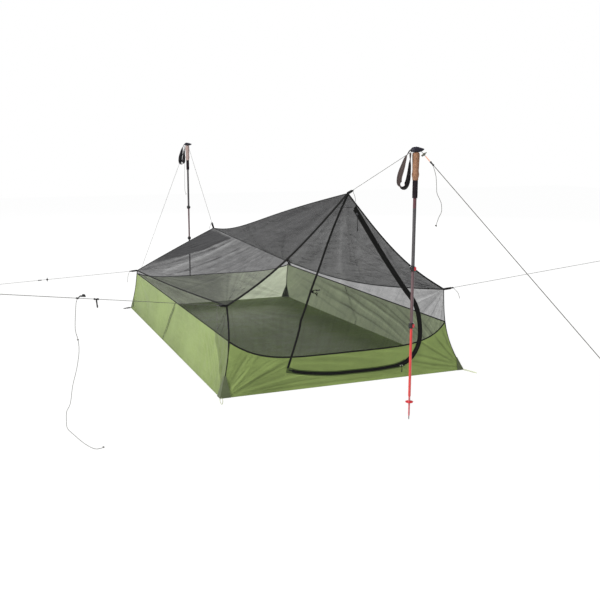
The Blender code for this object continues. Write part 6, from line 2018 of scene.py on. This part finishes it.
def build_pole(make, word, place):
    x, y = place
    head_low = POLE_HEIGHT - HEAD_HEIGHT
    grip_low = head_low - GAP - GRIP_LENGTH
    foam_low = grip_low - GAP - FOAM_LENGTH
    mould = Mould()
    shape = [(0.72, 0.000), (0.82, 0.010), (0.88, 0.08), (1.03, 0.165), (1.06, 0.215), (0.96, 0.29),
             (0.93, 0.35), (0.97, 0.52), (1.02, 0.70), (1.07, 0.85), (1.05, 0.93), (0.92, 0.985),
             (0.62, 1.0)]
    outer = rounded([(GRIP_RADIUS * r, mix(grip_low, head_low - GAP, t)) for r, t in shape], 5)
    lathe(mould, outer, 48, (x, y, 0), 0.94)
    mould.done(word + "_hand_grip", make[POLE_LOOKS[word]["grip"]], "shelter",
               "cork" if word == "front" else "grip_foam", node=word + "_pole_grip")
    mould = Mould()
    foam = [(0.72, 0.0), (0.94, 0.012), (1.0, 0.04), (1.0, 0.95), (0.95, 0.985), (0.75, 1.0)]
    lathe(mould, rounded([(FOAM_RADIUS * r, mix(foam_low, grip_low - GAP, t)) for r, t in foam], 4), 40,
          (x, y, 0))
    for share in (0.16, 0.33, 0.50, 0.67, 0.84):
        z = mix(foam_low, grip_low, share)
        lathe(mould, [(FOAM_RADIUS * 0.98, z - 0.0024), (FOAM_RADIUS * 1.035, z - 0.0012),
                      (FOAM_RADIUS * 1.035, z + 0.0012), (FOAM_RADIUS * 0.98, z + 0.0024)], 40, (x, y, 0))
    mould.done(word + "_foam_grip", make["foam"], "shelter", "black_rubber", node=word + "_pole_foam")
    build_head(make, word, place, head_low)
    build_strap(make, word, place)
    build_shaft(make, word, place)


def build_head(make, word, place, low):
    """Rounded cap with a beak, from stacked outlines."""
    outline = smooth_route([Vector(point) for point in
                            ((-0.022, 0.001, 0), (-0.006, 0.000, 0), (0.012, 0.000, 0), (0.026, 0.0035, 0),
                             (0.0365, 0.0110, 0), (0.0345, 0.0150, 0), (0.018, 0.0195, 0), (0.000, 0.0238, 0),
                             (-0.015, 0.021, 0), (-0.0235, 0.011, 0), (-0.022, 0.001, 0))], 4)
    half = HEAD_WIDTH / 2
    rings = []
    for share in np.linspace(-1, 1, 17):
        y = half * share
        shrink = max(0.02, (1 - abs(share) ** 3.2)) ** 0.45
        flat = 0.30 + 0.70 * shrink
        rings.append([(place[0] + p.x * (0.55 + 0.45 * shrink), place[1] + y,
                       low + mix(HEAD_HEIGHT * 0.46, p.y, flat if p.y > 0.011 else max(flat, 0.55)))
                      for p in outline])
    places = np.array(rings)
    marks = np.stack(np.broadcast_arrays(np.linspace(0, 0.026, 17)[:, None],
                                         np.linspace(0, 0.12, places.shape[1])[None]), axis=-1)
    mould = Mould()
    index = mould.grid(places, marks)
    mould.cap(index[0, :-1])
    mould.cap(index[-1, :-1][::-1])
    mould.done(word + "_grip_head", make["rubber"], "shelter", "black_rubber", sharp=60,
               node=word + "_pole_head")


def build_strap(make, word, place):
    """Wrist strap: webbing outside and a soft lining inside, turned over on the hand's side."""
    pin = Vector((place[0] - 0.024 - STRAP_THICKNESS * 0.53, place[1], POLE_HEIGHT - HEAD_HEIGHT * 0.55))
    outline = [(0.000, 0.000), (-0.009, -0.008), (-0.024, -0.032), (-0.041, -0.074), (-0.054, -0.114),
               (-0.053, -0.142), (-0.036, -0.156), (-0.019, -0.151), (-0.009, -0.128), (-0.004, -0.090),
               (-0.001, -0.045), (0.000, -0.014)]
    slim, broad = (1.0, 1.0) if word == "front" else (0.70, 1.22)
    points = as_array(smooth_route([pin + Vector((x * slim, 0, z)) for x, z in outline], 7))
    middle = points.mean(axis=0)
    along = np.gradient(points, axis=0)
    out = np.cross(along, np.array((0.0, 1.0, 0.0)))
    out /= np.linalg.norm(out, axis=1, keepdims=True)
    if ((points - middle) * out).sum() < 0:
        out = -out
    turns = running(points)
    wide = STRAP_WIDTH * broad * (0.34 + 0.82 * smooth(turns, 0.010, 0.110)
                          * (1 - 0.85 * smooth(turns, turns[-1] - 0.14, turns[-1] - 0.02)))
    curl = 0.0022 * smooth(turns, 0.03, 0.09)
    open_side = 1.15 if word == "front" else 0.95
    twist = open_side * (2 * smooth(turns, 0.150, 0.196) - smooth(turns, 0.006, 0.050)
                         - smooth(turns, turns[-1] - 0.05, turns[-1] - 0.005))
    spin, lean = np.cos(twist)[:, None], np.sin(twist)[:, None]
    side = np.array((0.0, 1.0, 0.0)) * spin + out * lean
    face = out * spin - np.array((0.0, 1.0, 0.0)) * lean
    rows = []
    across = np.linspace(-0.5, 0.5, 9)
    for lift, slot in ((STRAP_THICKNESS * 0.5, 0), (-STRAP_THICKNESS * 0.5, 1)):
        grid = points[:, None] + side[:, None] * (across[None, :, None] * wide[:, None, None])
        bow = -curl[:, None] * (across[None] * 2) ** 2
        rows.append((grid + face[:, None] * (lift + bow)[..., None], slot))
    mould = Mould()
    marks = np.stack(np.broadcast_arrays(turns[:, None], (across + 0.5)[None] * 0.5), axis=-1)
    for grid, slot in rows:
        mould.grid(grid, marks, slot)
    top, low = rows[0][0], rows[1][0]
    for edge in (0, -1):
        rim = np.stack([top[:, edge], low[:, edge]], axis=1)
        mould.grid(rim, np.stack([np.stack([turns, turns], 1), np.zeros((len(turns), 2)) + 0.05], axis=-1), 0)
    for edge in (0, -1):
        rim = np.stack([top[edge], low[edge]], axis=1)
        mould.grid(rim, np.zeros((len(across), 2, 2)), 0)
    look = POLE_LOOKS[word]
    mould.done(word + "_wrist_strap", [make[look["strap"]], make[look["lining"]]], word + "_strap",
               "black_webbing", sharp=60, node=word + "_pole_strap")


def build_shaft(make, word, place):
    x, y = place
    look = POLE_LOOKS[word]
    top = POLE_HEIGHT - HEAD_HEIGHT - GAP * 2
    band = "maroon" if word == "front" else look["upper"]
    for part, radius, low, high, body, bands in (
            ("upper", UPPER_TUBE_RADIUS, UPPER_CLAMP_HEIGHT, top, "shelter", (0.945, 0.992)),
            ("middle", MIDDLE_TUBE_RADIUS, LOWER_CLAMP_HEIGHT, UPPER_CLAMP_HEIGHT + TUBE_OVERLAP,
             word + "_pole_middle", None)):
        mould = Mould()
        inner = radius - TUBE_WALL
        steps = [low, low + 0.0006, high - 0.0006, high]
        if bands:
            steps = [low, low + 0.0006, bands[0], bands[1], high - 0.0006, high]
        chamfer = TUBE_WALL * 0.5
        for index, (start, end) in enumerate(zip(steps, steps[1:])):
            tint = 1 if bands and index == 2 else 0
            first = radius - (chamfer if index == 0 else 0)
            last = radius - (chamfer if index == len(steps) - 2 else 0)
            lathe(mould, [(first, start), (last, end)], 40, (x, y, 0), slot=tint)
        lathe(mould, [(radius - chamfer, high), (inner, high), (inner, low), (radius - chamfer, low)], 40,
              (x, y, 0))
        mould.done(word + "_" + part + "_shaft", [make[look[part]], make[band]], body, "dark_metal",
                   node=word + "_pole_" + part + "_tube")
    radius = LOWER_TUBE_RADIUS
    neck = radius * 0.72
    head = LOWER_CLAMP_HEIGHT + TUBE_OVERLAP
    mould = Mould()
    lathe(mould, [(neck * 1.02, TIP_JOINT_HEIGHT - 0.004), (radius * 0.97, TIP_JOINT_HEIGHT - 0.0005),
                  (radius, TIP_JOINT_HEIGHT + 0.001), (radius, head - 0.0008), (radius * 0.9, head),
                  (0.0, head)],
          40, (x, y, 0), slot=0)
    lathe(mould, rounded([(0.0024, 0.016), (neck * 0.86, 0.022), (neck * 0.92, 0.045),
                          (neck * 0.98, 0.074)]) +
          [(neck * 1.0, 0.090), (neck * 1.02, TIP_JOINT_HEIGHT - 0.004)], 32, (x, y, 0), slot=1)
    lathe(mould, [(0.0, 0.0), (0.0012, 0.0002), (0.0019, 0.003), (0.0022, 0.014), (0.0024, 0.016)],
          24, (x, y, 0), slot=2)
    for z in (0.030, 0.038, 0.046):
        lathe(mould, [(neck * 0.88, z - 0.0014), (neck * 0.99, z - 0.0006), (neck * 0.99, z + 0.0006),
                      (neck * 0.88, z + 0.0014)], 32, (x, y, 0), slot=1)
    mould.done(word + "_lower_shaft", [make[look["lower"]], make[look["tip"]], make["steel"]],
               word + "_pole_lower", "red_metal" if word == "front" else "dark_metal",
               node=word + "_pole_lower_tube")
    build_basket(make, word, place, neck)
    build_clamps(make, word, place)


def build_basket(make, word, place, neck):
    """Trekking basket: a ribbed collar and a dished rim."""
    x, y = place
    low, high = BASKET_HEIGHT, BASKET_HEIGHT + BASKET_THICKNESS
    bore = neck + GAP
    wide = BASKET_RADIUS
    profile = rounded([(bore + 0.0035, low + 0.0002), (wide * 0.60, low + 0.0003),
                       (wide * 0.90, low + 0.0018), (wide * 0.995, low + 0.0042),
                       (wide * 0.97, low + 0.0060), (wide * 0.80, low + 0.0054),
                       (wide * 0.52, low + 0.0050), (bore + 0.0032, high - 0.0004)], 4)
    mould = Mould()
    lathe(mould, [(bore, low)] + profile + [(bore, high), (bore, low)], 48, (x, y, 0))
    for index in range(6):
        turn = math.tau * index / 6
        ray = Vector((math.cos(turn), math.sin(turn), 0))
        centre = Vector((x, y, low + 0.0062)) + ray * (wide * 0.60)
        block(mould, (wide * 0.5, 0.0018, 0.0028), centre, axes_of(ray), 0.0006)
    mould.done(word + "_basket_dish", make[POLE_LOOKS[word]["basket"]], word + "_pole_lower",
               "black_rubber", node=word + "_pole_basket")


def build_clamps(make, word, place):
    x, y = place
    for part, tube_radius, low, body in (("upper", UPPER_TUBE_RADIUS, UPPER_CLAMP_HEIGHT, "shelter"),
                                         ("lower", MIDDLE_TUBE_RADIUS, LOWER_CLAMP_HEIGHT,
                                          word + "_pole_middle")):
        bore = tube_radius + GAP
        outer = bore + CLAMP_WALL
        high = low + CLAMP_LENGTH
        mould = Mould()
        profile = [(bore, low), (outer - 0.0008, low), (outer - 0.0001, low + 0.0008), (outer, low + 0.0016),
                   (outer, low + 0.006), (outer - 0.0004, low + 0.0066), (outer - 0.0004, high - 0.0066),
                   (outer, high - 0.006), (outer, high - 0.0016), (outer - 0.0001, high - 0.0008),
                   (outer - 0.0008, high), (bore, high), (bore, low)]
        lathe(mould, profile, 40, (x, y, 0))
        reach = outer + LEVER_GAP + LEVER_WALL - outer * 0.92
        for level in (low + LEVER_MARGIN / 2 - GAP, high - LEVER_MARGIN / 2 + GAP):
            centre = Vector((x - (outer * 0.92 + reach / 2), y, level))
            block(mould, (reach, LEVER_WALL * 1.8, LEVER_MARGIN - GAP * 2), centre, None, 0.0007)
        mould.done(word + "_" + part + "_collar", make["plastic"], body, "black_plastic",
                   node=word + "_pole_" + part + "_clamp")
        inner = outer + LEVER_GAP
        rim = inner + LEVER_WALL + 0.0018
        half = CLAMP_LENGTH / 2 - LEVER_MARGIN
        mould = Mould()
        rings = []
        shares = np.linspace(0, 1, 33)
        for share in shares:
            turn = math.radians(mix(182, 352, share))
            tip = smooth(share, 0.82, 1.0)
            thick = rim - 0.0003 - tip * (LEVER_WALL * 0.45)
            tall = half * (1 - 0.28 * tip)
            shape = []
            for t in np.linspace(0, math.tau, 21):
                wide = np.sign(math.cos(t)) * abs(math.cos(t)) ** 0.5
                up = np.sign(math.sin(t)) * abs(math.sin(t)) ** 0.5
                radius = (inner + thick) / 2 + wide * (thick - inner) / 2
                shape.append((x + radius * math.cos(turn), y + radius * math.sin(turn),
                              low + CLAMP_LENGTH / 2 + up * tall))
            rings.append(shape)
        places = np.array(rings)
        marks = np.stack(np.broadcast_arrays((shares * 0.03)[:, None], np.linspace(0, 0.03, 21)[None]),
                         axis=-1)
        root = 15
        index = mould.grid(places[:root + 1], marks[:root + 1], 1)
        mould.cap(index[0, :-1], 1)
        index = mould.grid(places[root:], marks[root:], 0)
        mould.cap(index[-1, :-1][::-1], 0)
        lever = make[POLE_LOOKS[word]["lever"]]
        mould.done(word + "_" + part + "_cam", [lever, make["plastic"]], word + "_" + part + "_lever",
                   "red_plastic" if word == "front" else "black_plastic",
                   node=word + "_pole_" + part + "_lever")


# Ground

def build_ground():
    bm = bmesh.new()
    bmesh.ops.create_grid(bm, x_segments=1, y_segments=1, size=14)
    mesh = bpy.data.meshes.new("ground")
    bm.to_mesh(mesh)
    bm.free()
    ground = bpy.data.objects.new("ground", mesh)
    ground.location = (0, 0, -0.0006)
    bpy.context.scene.collection.objects.link(ground)
    g = Graph("pale_ground")
    path = g.node("LightPath").outputs["Is Camera Ray"]
    faint = g.noise(3.0, 3, 0.5, coordinates=g.node("TexCoord").outputs["Object"])
    tone = g.blend(faint, (0.80, 0.80, 0.80), (0.84, 0.84, 0.84))
    dull = g.node("BsdfDiffuse", {"Color": (0.055, 0.055, 0.055)})
    white = g.node("Emission", {"Color": (1.0, 1.0, 1.0), "Strength": 0.955})
    seen = g.node("AddShader", {0: dull.outputs[0], 1: white.outputs[0]})
    matte = g.node("BsdfDiffuse", {"Color": tone})
    both = g.node("MixShader", {0: path, 1: matte.outputs[0], 2: seen.outputs[0]})
    mesh.materials.append(g.done(both))


make = finishes()
build_camera()
build_lines(make)
build_light()
build_ground()
build_floor_cloth(make)
build_bindings(make)
build_side_cloth(make)
build_rear_cloth(make)
build_roof_cloth(make)
build_front_cloth(make)
build_peak_patch(make)
build_wall_seams(make)
build_corner_patches(make)
build_tie_outs(make)
build_stake_cords(make)
build_sliders(make)
build_toggle(make)
build_pole(make, "front", FRONT_POLE_PLACE)
build_pole(make, "rear", REAR_POLE_PLACE)

bpy.context.view_layer.update()
